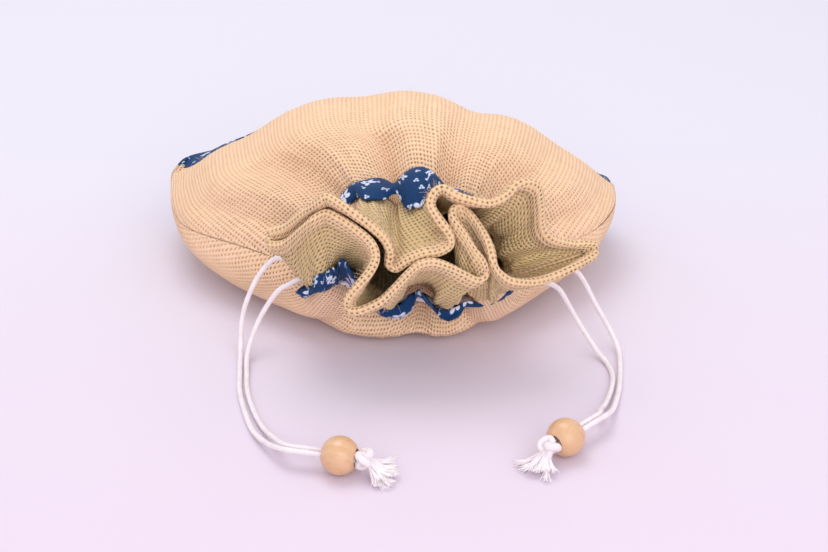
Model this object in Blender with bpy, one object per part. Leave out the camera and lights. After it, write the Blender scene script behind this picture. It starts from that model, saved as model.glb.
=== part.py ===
"""Natural jute drawstring pouch, stuffed and lying on its back with its mouth towards -Y.

Metres, +Z up. The origin is on the floor under the middle of the body. The pouch is two jute
panels that are sewn together along the sides, a printed cotton band that wraps the base, and
two cotton channels sewn round the neck. Two cotton cords run in the channels. Both ends of
each cord leave at one side, pass through a wooden bead and are tied in a knot.
"""

import bpy
import numpy as np

# Driving sizes
MM = 0.001

BODY_WIDTH = 196 * MM
BODY_HEIGHT = 80 * MM
BODY_BACK = 75 * MM
SEAM_HEIGHT = 28 * MM

NECK_WIDTH = 81 * MM
NECK_HEIGHT = 46 * MM
NECK_X = 7 * MM
NECK_Y = -39 * MM
NECK_Z = 42 * MM
NECK_LEAN = np.radians(29)
NECK_SIDE_DROP = 0.23
MOUTH_RISE = np.radians(18)
TOP_BEND = 0.35
TOP_BEND_DOWN = 0.12
BEND_DROP = 10 * MM
LOW_BEND = 0.6
LOW_BEND_TUCKED = 0.25

JUTE = 1.2 * MM
HEM = 2.0 * MM
HEM_WIDTH = 5 * MM
COTTON = 0.6 * MM
BAND = 0.9 * MM
BAND_LIFT = 0.6 * MM
SEAM_GAP = 0.3 * MM

CHANNEL_WIDTH = 15 * MM
CHANNEL_PUFF = 6.2 * MM
CHANNEL_TUCK = 1.6 * MM
CHANNEL_INSET = 0.07
PLEAT_DEPTH = 7 * MM

CORD = 2.0 * MM
CORD_PITCH = 3 * CORD
CORD_INSET = 0.05
CORD_ROOM = 3 * SEAM_GAP
PAIR_SPREAD = 2.4 * MM
BEAD = 14 * MM
BEAD_BORE = 6.2 * MM
BEAD_LENGTH = 12.0 * MM
BORE_EASING = 0.25 * MM
EASED_DEPTH = 0.4 * MM
BEAD_TRAVEL = 12 * MM
KNOT = 7.4 * MM
KNOT_LENGTH = 7.0 * MM
TAIL_LENGTH = 6.5 * MM
TAIL_WIDTH = 6.0 * MM

LEFT_BEAD_AT = np.array([-17.0, -130.3]) * MM
LEFT_BEAD_TURN = np.radians(-14)
RIGHT_BEAD_AT = np.array([63.2, -119.3]) * MM
RIGHT_BEAD_TURN = np.radians(-136)

# Colours as linear red, green and blue
JUTE_COLOUR = (0.78, 0.56, 0.33)
NAVY_COLOUR = (0.012, 0.055, 0.17)
CORD_COLOUR = (0.78, 0.72, 0.66)
WOOD_COLOUR = (0.80, 0.48, 0.22)


def clear_scene():
    """Take every object of the start-up file out."""
    for obj in list(bpy.data.objects):
        bpy.data.objects.remove(obj, do_unlink=True)


def material(name, colour, roughness):
    """A plain Principled material in the colour of one piece."""
    made = bpy.data.materials.new(name)
    made.use_nodes = True
    shader = made.node_tree.nodes["Principled BSDF"]
    shader.inputs["Base Color"].default_value = (*colour, 1)
    shader.inputs["Roughness"].default_value = roughness
    shader.inputs["Metallic"].default_value = 0
    made.diffuse_color = (*colour, 1)
    return made


def smooth_at(points, where):
    """Values of a Catmull-Rom spline through rows of points, at places counted in rows."""
    points = np.asarray(points, float)
    ends = np.vstack([2 * points[0] - points[1], points, 2 * points[-1] - points[-2]])
    where = np.clip(np.asarray(where, float), 0, len(points) - 1)
    row = np.minimum(where.astype(int), len(points) - 2)
    t = (where - row)[..., None]
    a, b, c, d = (ends[row + i] for i in range(4))
    return b + 0.5 * t * (c - a + t * (2 * a - 5 * b + 4 * c - d + t * (3 * (b - c) + d - a)))


def along(points, shares):
    """Points on the spline through the given points, at shares of its length."""
    dense = np.linspace(0, len(points) - 1, 60 * len(points))
    line = smooth_at(points, dense)
    run = np.concatenate([[0], np.cumsum(np.linalg.norm(np.diff(line, axis=0), axis=1))])
    return np.stack([np.interp(shares, run / run[-1], line[:, k]) for k in range(3)], -1)


def mesh_object(name, points, faces, look):
    """A smooth shaded mesh object from points and faces."""
    mesh = bpy.data.meshes.new(name)
    mesh.from_pydata([tuple(p) for p in points], [], [tuple(f) for f in faces])
    mesh.materials.append(look)
    mesh.shade_smooth()
    mesh.set_sharp_from_angle(angle=np.radians(50))
    obj = bpy.data.objects.new(name, mesh)
    bpy.context.scene.collection.objects.link(obj)
    return obj


def unit(vectors):
    return vectors / np.linalg.norm(vectors, axis=-1, keepdims=True)


def normals_of(grid):
    """Unit normals of a grid of points: the way down the rows crossed with the way across."""
    down = np.gradient(grid, axis=0)
    across = np.gradient(grid, axis=1)
    return unit(np.cross(down, across))


def sheet(name, middle, normals, thickness, look, flat=False):
    """A cloth of real thickness: the middle surface moved half the thickness to each side,
    and closed along its four edges. A flat cloth rests on the floor, so its outside is cut
    level where its middle lies half a thickness up."""
    half = np.broadcast_to(np.asarray(thickness), middle.shape[:2])[..., None] / 2
    outside = middle + normals * half
    inside = middle - normals * half
    if flat:
        outside[..., 2] = np.maximum(outside[..., 2], 0)
        outside[..., 2][middle[..., 2] <= JUTE / 2 + 0.001 * MM] = 0
    rows, columns = middle.shape[:2]
    number = np.arange(rows * columns).reshape(rows, columns)
    a, b = number[:-1, :-1], number[:-1, 1:]
    c, d = number[1:, 1:], number[1:, :-1]
    outer = np.stack([a, b, c, d], -1).reshape(-1, 4)
    inner = outer[:, ::-1] + rows * columns
    edge = np.concatenate([number[0, :-1], number[:-1, -1], number[-1, :0:-1], number[:0:-1, 0]])
    after = np.roll(edge, -1)
    shift = rows * columns
    sides = np.stack([after, edge, edge + shift, after + shift], -1)
    points = np.concatenate([outside.reshape(-1, 3), inside.reshape(-1, 3)])
    return mesh_object(name, points, np.concatenate([outer, inner, sides]), look)


# The body's profiles. Each row is one station, from the fold of the base to the neck. Numbers
# are shares: of the length behind or before the widest place, of the width and of the height.
# The columns are the top's y and z, the bottom's y and z, and the side's x, y and z.
STATIONS = [
    (1.00, 0.34, 1.00, 0.34, 0.86, 0.88, 0.94),
    (1.00, 0.54, 0.96, 0.12, 0.95, 0.76, 0.97),
    (0.88, 0.74, 0.83, 0.01, 0.99, 0.64, 1.00),
    (0.65, 0.91, 0.62, -0.03, 1.00, 0.52, 1.00),
    (0.34, 0.99, 0.25, -0.04, 0.975, 0.30, 1.00),
    (0.06, 0.97, -0.10, -0.04, 0.875, 0.04, 1.00),
]
# How far the left seam stands out of the right seam's mirror image, in the same stations
LEFT_CORNER = [(-4, 8, 4), (-3.5, 8, 4), (-3, 5, 2.5), (-1, 2, 1), (0, 0, 0), (0, 0, 0)]
BAND_STATION = 2.6
REST_STATION = 5
# Between the last profile and the neck: the share of the way, then how far the top swells out
# of the straight line there and how far the chin under the neck does, in millimetres
SHOULDERS = [
    (0.50, (0, 3.0, 4.5), (0, -9.5, -8.0)),
    (0.82, (0, 1.6, 2.4), (0, -11.2, -9.4)),
]
STATION_COUNT = 11


def neck_station(forward):
    """The ring round the neck, moved forward along the mouth's axis: top, bottom and sides."""
    axis = np.array([0, -np.cos(MOUTH_RISE), np.sin(MOUTH_RISE)])
    lean = np.array([0, np.sin(NECK_LEAN), np.cos(NECK_LEAN)])
    middle = np.array([NECK_X, NECK_Y, NECK_Z]) + axis * forward
    side = middle - lean * NECK_HEIGHT * NECK_SIDE_DROP
    return (
        middle + lean * NECK_HEIGHT / 2,
        middle - lean * NECK_HEIGHT / 2,
        side - np.array([NECK_WIDTH / 2, 0, 0]),
        side + np.array([NECK_WIDTH / 2, 0, 0]),
    )


def station_rows():
    """The four profile lines as rows of points: top, bottom, left seam and right seam."""
    rows = []
    reach = BODY_BACK
    for profile, corner in zip(STATIONS, LEFT_CORNER):
        top_y, top_z, low_y, low_z, side_x, side_y, side_z = profile
        right = np.array([side_x * BODY_WIDTH / 2, side_y * reach, side_z * SEAM_HEIGHT])
        left = right * np.array([-1, 1, 1]) + np.array(corner) * MM
        top = np.array([0, top_y * reach, top_z * BODY_HEIGHT])
        low = np.array([0, low_y * reach, low_z * BODY_HEIGHT])
        rows.append((top, low, left, right))
    behind = neck_station(-CHANNEL_WIDTH / 2)
    last = rows[-1]
    for share, crest, chin in SHOULDERS:
        mixed = [a + (b - a) * share for a, b in zip(last, behind)]
        mixed[0] = mixed[0] + np.array(crest) * MM
        mixed[1] = mixed[1] + np.array(chin) * MM
        rows.append(tuple(mixed))
    for forward in (-0.5, 0.0, 0.5):
        rows.append(neck_station(forward * CHANNEL_WIDTH))
    return rows


# How steeply a section rises from the side seams, by station: 1 is round, more is slack
TOP_SLACK = [1.8, 1.8, 1.8, 1.8, 1.75, 1.5, 1.25, 1.1, 1.0, 1.0, 1.0]
LOW_SLACK = 0.8

# How far the bottom of the neck's front edge is drawn up, under the two arches of the hem:
# each as place across, half width and share of the height
NECK_TUCK = 12 * MM
TUCKS = [(0.30, 0.10, 1.0), (0.52, 0.045, 0.5)]


def tuck(places):
    """The shares of the tucks at places across: a bell under each arch."""
    return sum(share * np.exp(-(((places - at) / width) ** 2)) for at, width, share in TUCKS)

# Where the cloth's shares across lie on the neck's ring, for the hem's folds to hang from it
TOP_WARP = (
    [0, 0.17, 0.36, 0.48, 0.60, 0.69, 0.77, 0.90, 1],
    [0, 0.24, 0.45, 0.53, 0.60, 0.68, 0.76, 0.89, 1],
)
LOW_WARP = (
    [0, 0.13, 0.27, 0.42, 0.52, 0.60, 0.67, 0.71, 0.80, 0.87, 1],
    [0, 0.22, 0.36, 0.46, 0.56, 0.62, 0.65, 0.70, 0.79, 0.88, 1],
)


def body_surface(places, stations, side):
    """The smooth stuffed surface at places across and at stations along. Each section is an
    arch between the side seams, over the top for side 1 and under the bottom for side -1,
    where the floor flattens it."""
    top, low, left, right = (np.array(line) for line in zip(*station_rows()))
    stations = np.asarray(stations, float)
    across = 0.5 - 0.5 * np.cos(np.pi * places)[None, :, None]
    left_at = smooth_at(left, stations)[:, None]
    right_at = smooth_at(right, stations)[:, None]
    peak = smooth_at(top if side > 0 else low, stations)[:, None]
    chord = left_at + (right_at - left_at) * across
    rise = peak - (left_at + right_at) / 2
    rise[..., 0] = 0
    slack = np.full(len(stations), LOW_SLACK)
    if side > 0:
        slack = np.interp(stations, np.arange(STATION_COUNT), TOP_SLACK)
    arch = np.clip(np.sin(np.pi * places), 0, 1)[None] ** slack[:, None]
    lip = SEAM_GAP / 2 + JUTE / 2 * np.clip(slack - 1, 0, 1)
    surface = chord + rise * arch[..., None] + unit(rise) * lip[:, None, None]
    if side < 0:
        drawn = NECK_TUCK * np.interp(stations, (7.6, 10), (0, 1))[:, None]
        surface[..., 2] += drawn * tuck(places)
        surface[..., 2] = np.maximum(surface[..., 2], JUTE / 2)
    return surface


# The gathers: place across as a share, depth as a share of PLEAT_DEPTH, half width as a share,
# and how far the valley runs into the body
TOP_PLEATS = [
    (0.12, 0.55, 0.035, 22 * MM),
    (0.27, 0.90, 0.050, 45 * MM),
    (0.46, 1.00, 0.042, 50 * MM),
    (0.62, 0.80, 0.036, 70 * MM),
    (0.76, 0.70, 0.040, 34 * MM),
    (0.90, 0.50, 0.032, 24 * MM),
]
LOW_PLEATS = [
    (0.14, 0.40, 0.050, 20 * MM),
    (0.29, 0.90, 0.045, 26 * MM),
    (0.53, 0.90, 0.045, 26 * MM),
    (0.69, 0.80, 0.038, 26 * MM),
    (0.88, 0.35, 0.050, 20 * MM),
]
NECK_REACH = [125, 108, 92, 74, 50, 25, 14, 6, 0, 0, 0]


def pleat_depth(places, stations, side):
    """How far the gathers draw the cloth in: valleys that are full at the neck and fade into
    the body over their own reach. Underneath they end where the body rests on the floor."""
    away = np.interp(stations, np.arange(STATION_COUNT), NECK_REACH)[:, None] * MM
    depth = np.zeros((len(stations), len(places)))
    for place, share, width, reach in TOP_PLEATS if side > 0 else LOW_PLEATS:
        valley = np.exp(-(((places - place) / width) ** 2))[None]
        depth += PLEAT_DEPTH * share * valley * np.exp(-away / reach)
    if side < 0:
        depth *= np.clip(np.asarray(stations) - REST_STATION, 0, 1)[:, None]
    return depth


# The hem of the mouth, from the left seam to the right seam: each point is where the hem turns
# or passes, in millimetres from the middle of the neck as across, forward and up.
TOP_HEM = [
    (-52.8, -15.0, 11.8), (-52.3, -15.0, 13.6), (-46.0, -18.0, 17.4), (-39.5, -22.0, 25.0),
    (-33.5, -26.0, 31.5), (-30.0, -27.0, 34.0), (-26.2, -28.0, 32.5), (-20.7, -29.0, 28.8),
    (-14.2, -30.0, 24.0), (-9.1, -31.0, 19.1), (-6.9, -32.0, 14.2), (-7.2, -32.5, 9.6),
    (-4.6, -33.0, 8.0), (-0.2, -33.0, 10.9), (5.7, -33.0, 13.5), (11.0, -32.5, 14.4),
    (15.2, -31.5, 16.9), (14.9, -30.0, 20.7), (10.8, -28.0, 25.8), (8.1, -25.0, 30.1),
    (9.6, -23.0, 34.0), (12.9, -22.5, 35.4), (17.5, -23.0, 32.8), (23.4, -24.0, 31.3),
    (30.1, -24.0, 30.4), (35.8, -23.0, 32.6), (39.5, -21.0, 35.8), (43.8, -20.0, 36.7),
    (48.0, -19.0, 33.8), (49.4, -19.0, 27.2), (50.3, -18.5, 18.0), (53.6, -18.0, 12.6),
    (61.5, -14.5, 8.6), (69.5, -13.5, 7.8), (71.4, -13.5, 5.8),
]
LOW_HEM = [
    (-52.8, -16.5, 11.0), (-51.5, -18.0, 9.8), (-46.5, -21.0, 12.0), (-40.7, -24.5, 18.8),
    (-35.5, -27.0, 25.0), (-30.4, -27.0, 27.6), (-25.2, -29.0, 26.1), (-18.6, -31.0, 22.2),
    (-13.8, -33.5, 18.4), (-12.2, -36.0, 14.0), (-14.2, -38.0, 9.3), (-18.4, -39.0, 4.0),
    (-22.3, -39.0, -1.6), (-22.4, -39.0, -5.8), (-18.2, -39.5, -6.6), (-10.2, -39.0, -2.8),
    (-4.9, -38.0, 2.3), (-0.4, -37.5, 7.5), (4.0, -37.5, 11.6), (9.3, -37.5, 12.6),
    (15.3, -37.5, 10.4), (20.9, -36.0, 6.3), (25.2, -35.2, 3.9), (28.4, -34.0, 6.0),
    (27.6, -32.8, 10.0),
    (24.6, -32.0, 14.2), (20.6, -30.0, 20.5), (16.8, -27.0, 25.0), (16.6, -24.5, 27.6),
    (19.2, -23.0, 28.0), (22.8, -23.0, 25.4), (27.0, -25.5, 20.2), (30.0, -29.0, 15.2),
    (31.6, -31.5, 9.7), (34.1, -32.0, 4.9), (39.5, -31.0, 0.9), (48.9, -27.0, -0.9),
    (59.6, -22.0, 0.6), (69.5, -17.0, 3.6), (71.4, -15.0, 4.8),
]


def hem_points(side):
    points = np.array(TOP_HEM if side > 0 else LOW_HEM) * MM
    return points + np.array([NECK_X, NECK_Y, NECK_Z])


def columns(side, count):
    """Shares across a panel, closer together where its hem turns."""
    even = np.linspace(0, 1, 1200)
    line = along(hem_points(side), even)
    way = unit(np.diff(line, axis=0))
    turn = np.linalg.norm(np.diff(way, axis=0), axis=1)
    turn = np.convolve(np.append(turn, 0), np.ones(25) / 25, mode="same")
    weight = 1 / len(turn) + 0.5 * turn / turn.sum()
    run = np.concatenate([[0], np.cumsum(weight)])
    return np.interp(np.linspace(0, 1, count), run / run[-1], even)


BODY_ROWS = (3.1, 3.6, 4.2, 4.8, 5.4, 6.0, 6.5, 7.0, 7.5, 8.0, 8.6, 9.4, 10.0)
MOUTH_ROWS = (0.24, 0.48, 0.72)
PANEL_COLUMNS = 56


def panel_middle(shares, side):
    """The middle surface of a jute panel, from the band's seam to the hem, as rows."""
    body_rows = np.array((BAND_STATION, *BODY_ROWS), float)
    places = np.interp(shares, *(TOP_WARP if side > 0 else LOW_WARP))
    smooth = body_surface(places, body_rows, side)
    outward = normals_of(smooth) * side
    waist = np.interp(body_rows, (8, 8.6, 9.4, 10), (0, 1, 1, 0))[:, None]
    waist = waist * (CORD / 2 + JUTE / 2 + CORD_ROOM)
    drawn = pleat_depth(places, body_rows, side) + waist
    body = smooth - outward * drawn[..., None]
    if side < 0:
        body[..., 2] = np.maximum(body[..., 2], JUTE / 2)
    start = body[-1]
    hem = along(hem_points(side), shares)
    axis = np.array([0, -np.cos(MOUTH_RISE), np.sin(MOUTH_RISE)])
    ahead = (hem - start) @ axis
    share = LOW_BEND + (LOW_BEND_TUCKED - LOW_BEND) * tuck(places)
    if side > 0:
        down = np.clip((start - hem)[:, 2] / BEND_DROP, 0, 1)
        share = TOP_BEND + (TOP_BEND_DOWN - TOP_BEND) * down
    bend = start + axis * (ahead * share)[:, None]
    hem_start = 1 - HEM_WIDTH / np.linalg.norm(hem - start, axis=1).mean()
    mouth_rows = np.array([*MOUTH_ROWS, hem_start - 0.02, hem_start + 0.02, 1.0])
    t = mouth_rows[:, None, None]
    mouth = (1 - t) ** 2 * start + 2 * t * (1 - t) * bend + t**2 * hem
    return np.concatenate([body, mouth]), len(body_rows)


def panel(name, side, look):
    shares = columns(side, PANEL_COLUMNS)
    middle, body_count = panel_middle(shares, side)
    first = unit(middle[1] - middle[0])
    middle[0] += first * SEAM_GAP / 2
    thickness = np.full(len(middle), JUTE)
    thickness[-2:] = HEM
    outward = normals_of(middle) * side
    return sheet(name, *facing(middle, outward, side), thickness[:, None], look, flat=side < 0)


def facing(middle, outward, side):
    """Rows and columns in the order that turns the outer faces out."""
    if side > 0:
        return middle[:, ::-1], outward[:, ::-1]
    return middle, outward


def base_band(look):
    """The printed cotton that wraps the base: over the top, round the fold and underneath."""
    shares = np.linspace(0, 1, 27)
    rows = np.array([BAND_STATION, 2.3, 2.0, 1.5, 1.0, 0.6, 0.25])
    top = body_surface(shares, rows, 1)
    low = body_surface(shares, rows[::-1], -1)
    fold = (body_surface(shares, np.zeros(1), 1) + body_surface(shares, np.zeros(1), -1)) / 2
    fold[..., 1] += 1.5 * BAND_LIFT
    middle = np.concatenate([top, fold, low])
    middle[0] -= unit(middle[0] - middle[1]) * SEAM_GAP / 2
    middle[-1] -= unit(middle[-1] - middle[-2]) * SEAM_GAP / 2
    lift = BAND_LIFT * np.interp(rows, (0.2, 2, BAND_STATION), (1, 1, 0))
    middle[:, :, 2] += np.concatenate([lift, [0], -lift[::-1]])[:, None]
    middle[..., 2] = np.maximum(middle[..., 2], JUTE / 2)
    outward = -normals_of(middle)
    return sheet("base_band", middle, outward, BAND, look)


CHANNEL_ROWS = (8.2, 8.4, 8.7, 9.05, 9.4, 9.75, 10.0)


def channel(name, side, look):
    """A cotton strip sewn along both edges over one panel's neck, puffed between gathers."""
    shares = np.linspace(CHANNEL_INSET, 1 - CHANNEL_INSET, 41)
    stations = np.array(CHANNEL_ROWS)
    smooth = body_surface(shares, stations, side)
    outward = normals_of(smooth) * side
    depth = pleat_depth(shares, stations, side)
    share = np.clip(depth / PLEAT_DEPTH, 0, 1)
    rise = np.sin(np.pi * (stations - stations[0]) / (stations[-1] - stations[0]))
    lift = np.clip(rise, 0, 1)[:, None] ** 0.6
    low_line = (JUTE + COTTON) / 2 + SEAM_GAP - 0.4 * depth
    high_line = CHANNEL_TUCK + (CHANNEL_PUFF - CHANNEL_TUCK) * (1 - share) ** 0.7
    off = low_line + (high_line - low_line) * lift
    middle = smooth + outward * off[..., None]
    facing_out = normals_of(middle) * side
    return sheet(name, *facing(middle, facing_out, side), COTTON, look)


def ring_path(station, start, end, side, count):
    """Points along the neck's ring on one panel, where the cord runs."""
    shares = np.linspace(start, end, count)
    return body_surface(shares, np.array([station]), side)[0]


# Cord routes outside the channels, in millimetres, from the neck to the bead
LEFT_UPPER = [(-35.5, -44, 34.5), (-38.5, -43, 35.2), (-42.5, -40.5, 37), (-47, -39, 35.5)]
LEFT_UPPER += [(-53, -40, 28.6), (-57.8, -43, 19), (-59.8, -47.5, 11), (-59.8, -56, 3)]
LEFT_UPPER += [(-58.8, -69.6, 1.2), (-57.4, -82, 1.2), (-54.2, -95, 1.2)]
LEFT_UPPER += [(-49.8, -108, 1.6), (-43.5, -119, 4.0)]
LEFT_LOWER = [(-36, -47, 31), (-40.5, -47, 28.8), (-44.8, -46.3, 25.5), (-50, -46.3, 17.8)]
LEFT_LOWER += [(-54.2, -50, 10.3), (-56.8, -58, 3.4), (-56.0, -70.3, 1.2), (-54.4, -82.2, 1.2)]
LEFT_LOWER += [(-50.8, -95, 1.2), (-46.4, -106, 1.8), (-41.5, -115.8, 4.2)]
RIGHT_UPPER = [(49.7, -41, 34.5), (53.5, -40.5, 35.3), (60, -39, 35), (68, -38.5, 33.2)]
RIGHT_UPPER += [(75, -39.5, 29), (81.5, -42, 17.5), (87.4, -46.5, 8), (90.4, -53, 2.6)]
RIGHT_UPPER += [(90, -63, 1.2), (87.7, -78.7, 1.2), (84, -93, 2.2), (81, -101, 4.8)]
RIGHT_LOWER = [(49.5, -41.5, 29), (53.5, -42, 28), (60, -44.5, 28.6), (66, -46, 26.5)]
RIGHT_LOWER += [(70.6, -46.5, 19), (75.4, -50, 11.5), (80.9, -54.5, 4.2), (85, -61, 1.3)]
RIGHT_LOWER += [(86.2, -70, 1.2), (84.6, -79.5, 1.3), (81, -91, 2.2), (78, -98.8, 4.8)]


def bead_axis(turn):
    return np.array([np.cos(turn), np.sin(turn), 0])


def bead_centre(at):
    return np.array([at[0], at[1], BEAD / 2])


def bead_end(at, turn, spread):
    """The straight stretch of a cord through the bead, up to the knot."""
    axis = bead_axis(turn)
    beside = np.array([-axis[1], axis[0], 0]) * spread / 2
    centre = bead_centre(at) + beside
    knot_face = BEAD_LENGTH / 2 + SEAM_GAP
    straight = BEAD_LENGTH / 2 + BEAD_TRAVEL
    steps = (-straight - CORD, -0.6 * straight, 0, knot_face - SEAM_GAP)
    return [centre + axis * step for step in steps]


def cord(name, upper, lower, station, first_side, at, turn, look):
    """One whole cord: from the knot through the bead to the neck, round inside both channels,
    and back through the bead to the knot."""
    up = list(np.array(upper) * MM)
    down = list(np.array(lower) * MM)
    spread = PAIR_SPREAD if first_side > 0 else -PAIR_SPREAD
    start, end = (CORD_INSET, 1 - CORD_INSET)
    if first_side < 0:
        start, end = end, start
    ring = [*ring_path(station, start, end, 1, 17), *ring_path(station, end, start, -1, 17)]
    out = bead_end(at, turn, -spread)
    back = bead_end(at, turn, spread)
    route = np.array([*out[::-1], *up[::-1], *ring, *down, *back])
    dense = smooth_at(route, np.linspace(0, len(route) - 1, 40 * len(route)))
    length = np.linalg.norm(np.diff(dense, axis=0), axis=1).sum()
    points = along(route, np.linspace(0, 1, int(round(length / CORD_PITCH)) + 1))
    curve = bpy.data.curves.new(name, "CURVE")
    curve.dimensions = "3D"
    curve.bevel_depth = CORD / 2
    curve.bevel_resolution = 2
    curve.use_fill_caps = True
    spline = curve.splines.new("POLY")
    spline.points.add(len(points) - 1)
    for point, place in zip(spline.points, points):
        point.co = (*place, 1)
    curve.materials.append(look)
    obj = bpy.data.objects.new(name, curve)
    bpy.context.scene.collection.objects.link(obj)
    return obj


def turned(name, profile, segments, look):
    """A closed solid of revolution about X from a ring-shaped profile of x and radius."""
    profile = np.asarray(profile)
    angle = np.linspace(0, 2 * np.pi, segments, endpoint=False)
    x = np.repeat(profile[:, :1], segments, axis=1)
    points = np.stack([x, profile[:, 1:] * np.cos(angle), profile[:, 1:] * np.sin(angle)], -1)
    number = np.arange(len(profile) * segments).reshape(len(profile), segments)
    a = number
    b = np.roll(number, -1, axis=0)
    c = np.roll(b, -1, axis=1)
    d = np.roll(a, -1, axis=1)
    faces = np.stack([a, b, c, d], -1).reshape(-1, 4)
    return mesh_object(name, points.reshape(-1, 3), faces, look)


def bead(name, at, turn, look):
    """A turned wooden ball with a straight bore and slightly rounded bore edges."""
    half = BEAD_LENGTH / 2
    bore = BEAD_BORE / 2
    swing = np.arccos(half / (BEAD / 2))
    arc = np.linspace(swing, np.pi - swing, 11)
    outer = np.stack([np.cos(arc), np.sin(arc)], -1) * BEAD / 2
    eased = half - EASED_DEPTH
    mouth = bore + BORE_EASING
    inner = np.array([(-half, mouth), (-eased, bore), (0, bore), (eased, bore), (half, mouth)])
    obj = turned(name, np.concatenate([outer, inner]), 24, look)
    obj.location = bead_centre(at)
    obj.rotation_euler = (0, 0, turn)
    return obj


KNOT_ROWS = 13
KNOT_SIDES = 16


def knot(name, at, turn, look):
    """An overhand knot of both cord ends with a short frayed tail: a lobed ball that narrows
    and then fans out flat."""
    rows = np.linspace(0, 1, KNOT_ROWS)
    whole = KNOT_LENGTH + TAIL_LENGTH
    x = whole * rows
    knot_share = KNOT_LENGTH / whole
    inside = np.clip(rows / knot_share, 0, 1)
    ball = KNOT / 2 * np.sqrt(np.clip(1 - (2 * inside - 1) ** 2, 0, 1))
    neck = 0.95 * CORD
    radius = np.where(rows < knot_share, np.maximum(ball, 0.8 * CORD), neck)
    fan = np.clip((rows - knot_share) / (1 - knot_share), 0, 1)
    wide = radius + (TAIL_WIDTH / 2 - neck) * fan
    high = radius * (1 - 0.55 * fan)
    angle = np.linspace(0, 2 * np.pi, KNOT_SIDES, endpoint=False)
    lobes = 1 + 0.13 * np.cos(2 * angle[None] + 5 * inside[:, None]) * (fan[:, None] == 0)
    drop = -(BEAD / 2 - 0.8 * CORD) * fan**1.2
    y = wide[:, None] * lobes * np.cos(angle)
    z = high[:, None] * lobes * np.sin(angle) + drop[:, None]
    points = np.stack([np.repeat(x[:, None], KNOT_SIDES, axis=1), y, z], -1).reshape(-1, 3)
    number = np.arange(KNOT_ROWS * KNOT_SIDES).reshape(KNOT_ROWS, KNOT_SIDES)
    a, b = number[:-1], number[1:]
    faces = np.stack([a, b, np.roll(b, -1, axis=1), np.roll(a, -1, axis=1)], -1).reshape(-1, 4)
    faces = [tuple(f[::-1]) for f in faces] + [tuple(number[0][::-1]), tuple(number[-1])]
    obj = mesh_object(name, points, faces, look)
    axis = bead_axis(turn)
    obj.location = bead_centre(at) + axis * (BEAD_LENGTH / 2 + SEAM_GAP)
    obj.rotation_euler = (0, 0, turn)
    return obj


def main():
    clear_scene()
    jute = material("jute", JUTE_COLOUR, 0.9)
    navy = material("printed_cotton", NAVY_COLOUR, 0.6)
    cotton = material("cord_cotton", CORD_COLOUR, 0.9)
    wood = material("bead_wood", WOOD_COLOUR, 0.35)
    panel("front_panel", 1, jute)
    panel("back_panel", -1, jute)
    base_band(navy)
    channel("front_channel", 1, navy)
    channel("back_channel", -1, navy)
    cord("left_cord", LEFT_UPPER, LEFT_LOWER, 9.2, 1, LEFT_BEAD_AT, LEFT_BEAD_TURN, cotton)
    cord("right_cord", RIGHT_UPPER, RIGHT_LOWER, 8.8, -1, RIGHT_BEAD_AT, RIGHT_BEAD_TURN, cotton)
    bead("left_bead", LEFT_BEAD_AT, LEFT_BEAD_TURN, wood)
    bead("right_bead", RIGHT_BEAD_AT, RIGHT_BEAD_TURN, wood)
    knot("left_knot", LEFT_BEAD_AT, LEFT_BEAD_TURN, cotton)
    knot("right_knot", RIGHT_BEAD_AT, RIGHT_BEAD_TURN, cotton)


main()
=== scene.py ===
"""Looks of a stuffed jute drawstring pouch that lies on its back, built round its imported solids.

Metres, +Z up, the mouth towards -Y. The pouch is put together here as it is made: the cords,
the two jute panels, the cotton band round the base, the two cotton channels, the beads, the
knots and the loose fibres.
"""

import bpy
import numpy as np
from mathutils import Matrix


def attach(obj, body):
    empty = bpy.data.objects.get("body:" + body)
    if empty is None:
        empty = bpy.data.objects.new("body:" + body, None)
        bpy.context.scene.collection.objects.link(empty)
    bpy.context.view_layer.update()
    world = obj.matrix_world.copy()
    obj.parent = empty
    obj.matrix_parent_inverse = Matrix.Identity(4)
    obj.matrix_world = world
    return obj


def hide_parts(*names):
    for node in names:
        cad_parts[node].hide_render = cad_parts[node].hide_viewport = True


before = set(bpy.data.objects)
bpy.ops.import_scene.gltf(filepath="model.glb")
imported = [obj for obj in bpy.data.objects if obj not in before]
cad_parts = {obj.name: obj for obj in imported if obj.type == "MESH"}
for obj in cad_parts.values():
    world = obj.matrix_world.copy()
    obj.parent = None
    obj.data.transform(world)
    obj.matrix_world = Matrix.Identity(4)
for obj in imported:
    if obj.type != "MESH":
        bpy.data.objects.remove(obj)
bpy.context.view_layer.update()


# View: a small camera close in front of the mouth and above it, looking 29 degrees down.
VIEW_PLACE = (0.009, -0.5425, 0.3074)
VIEW_DOWN = np.radians(29)
VIEW_LENS, FILM_WIDTH = 62.8, 36


def add_object(name, data):
    """A new object, linked to the scene."""
    made = bpy.data.objects.new(name, data)
    bpy.context.scene.collection.objects.link(made)
    return made


camera = add_object("camera", bpy.data.cameras.new("camera"))
camera.data.sensor_width = FILM_WIDTH
camera.data.lens = VIEW_LENS
camera.location = VIEW_PLACE
camera.rotation_euler = (np.pi / 2 - VIEW_DOWN, 0, 0)
bpy.context.scene.camera = camera


# Drawcords: two soft cords of twisted undyed cotton. Each runs once round the neck inside both
# channels, and its two ends leave together at one side, go through a wooden bead and are tied.
MM = 0.001

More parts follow.
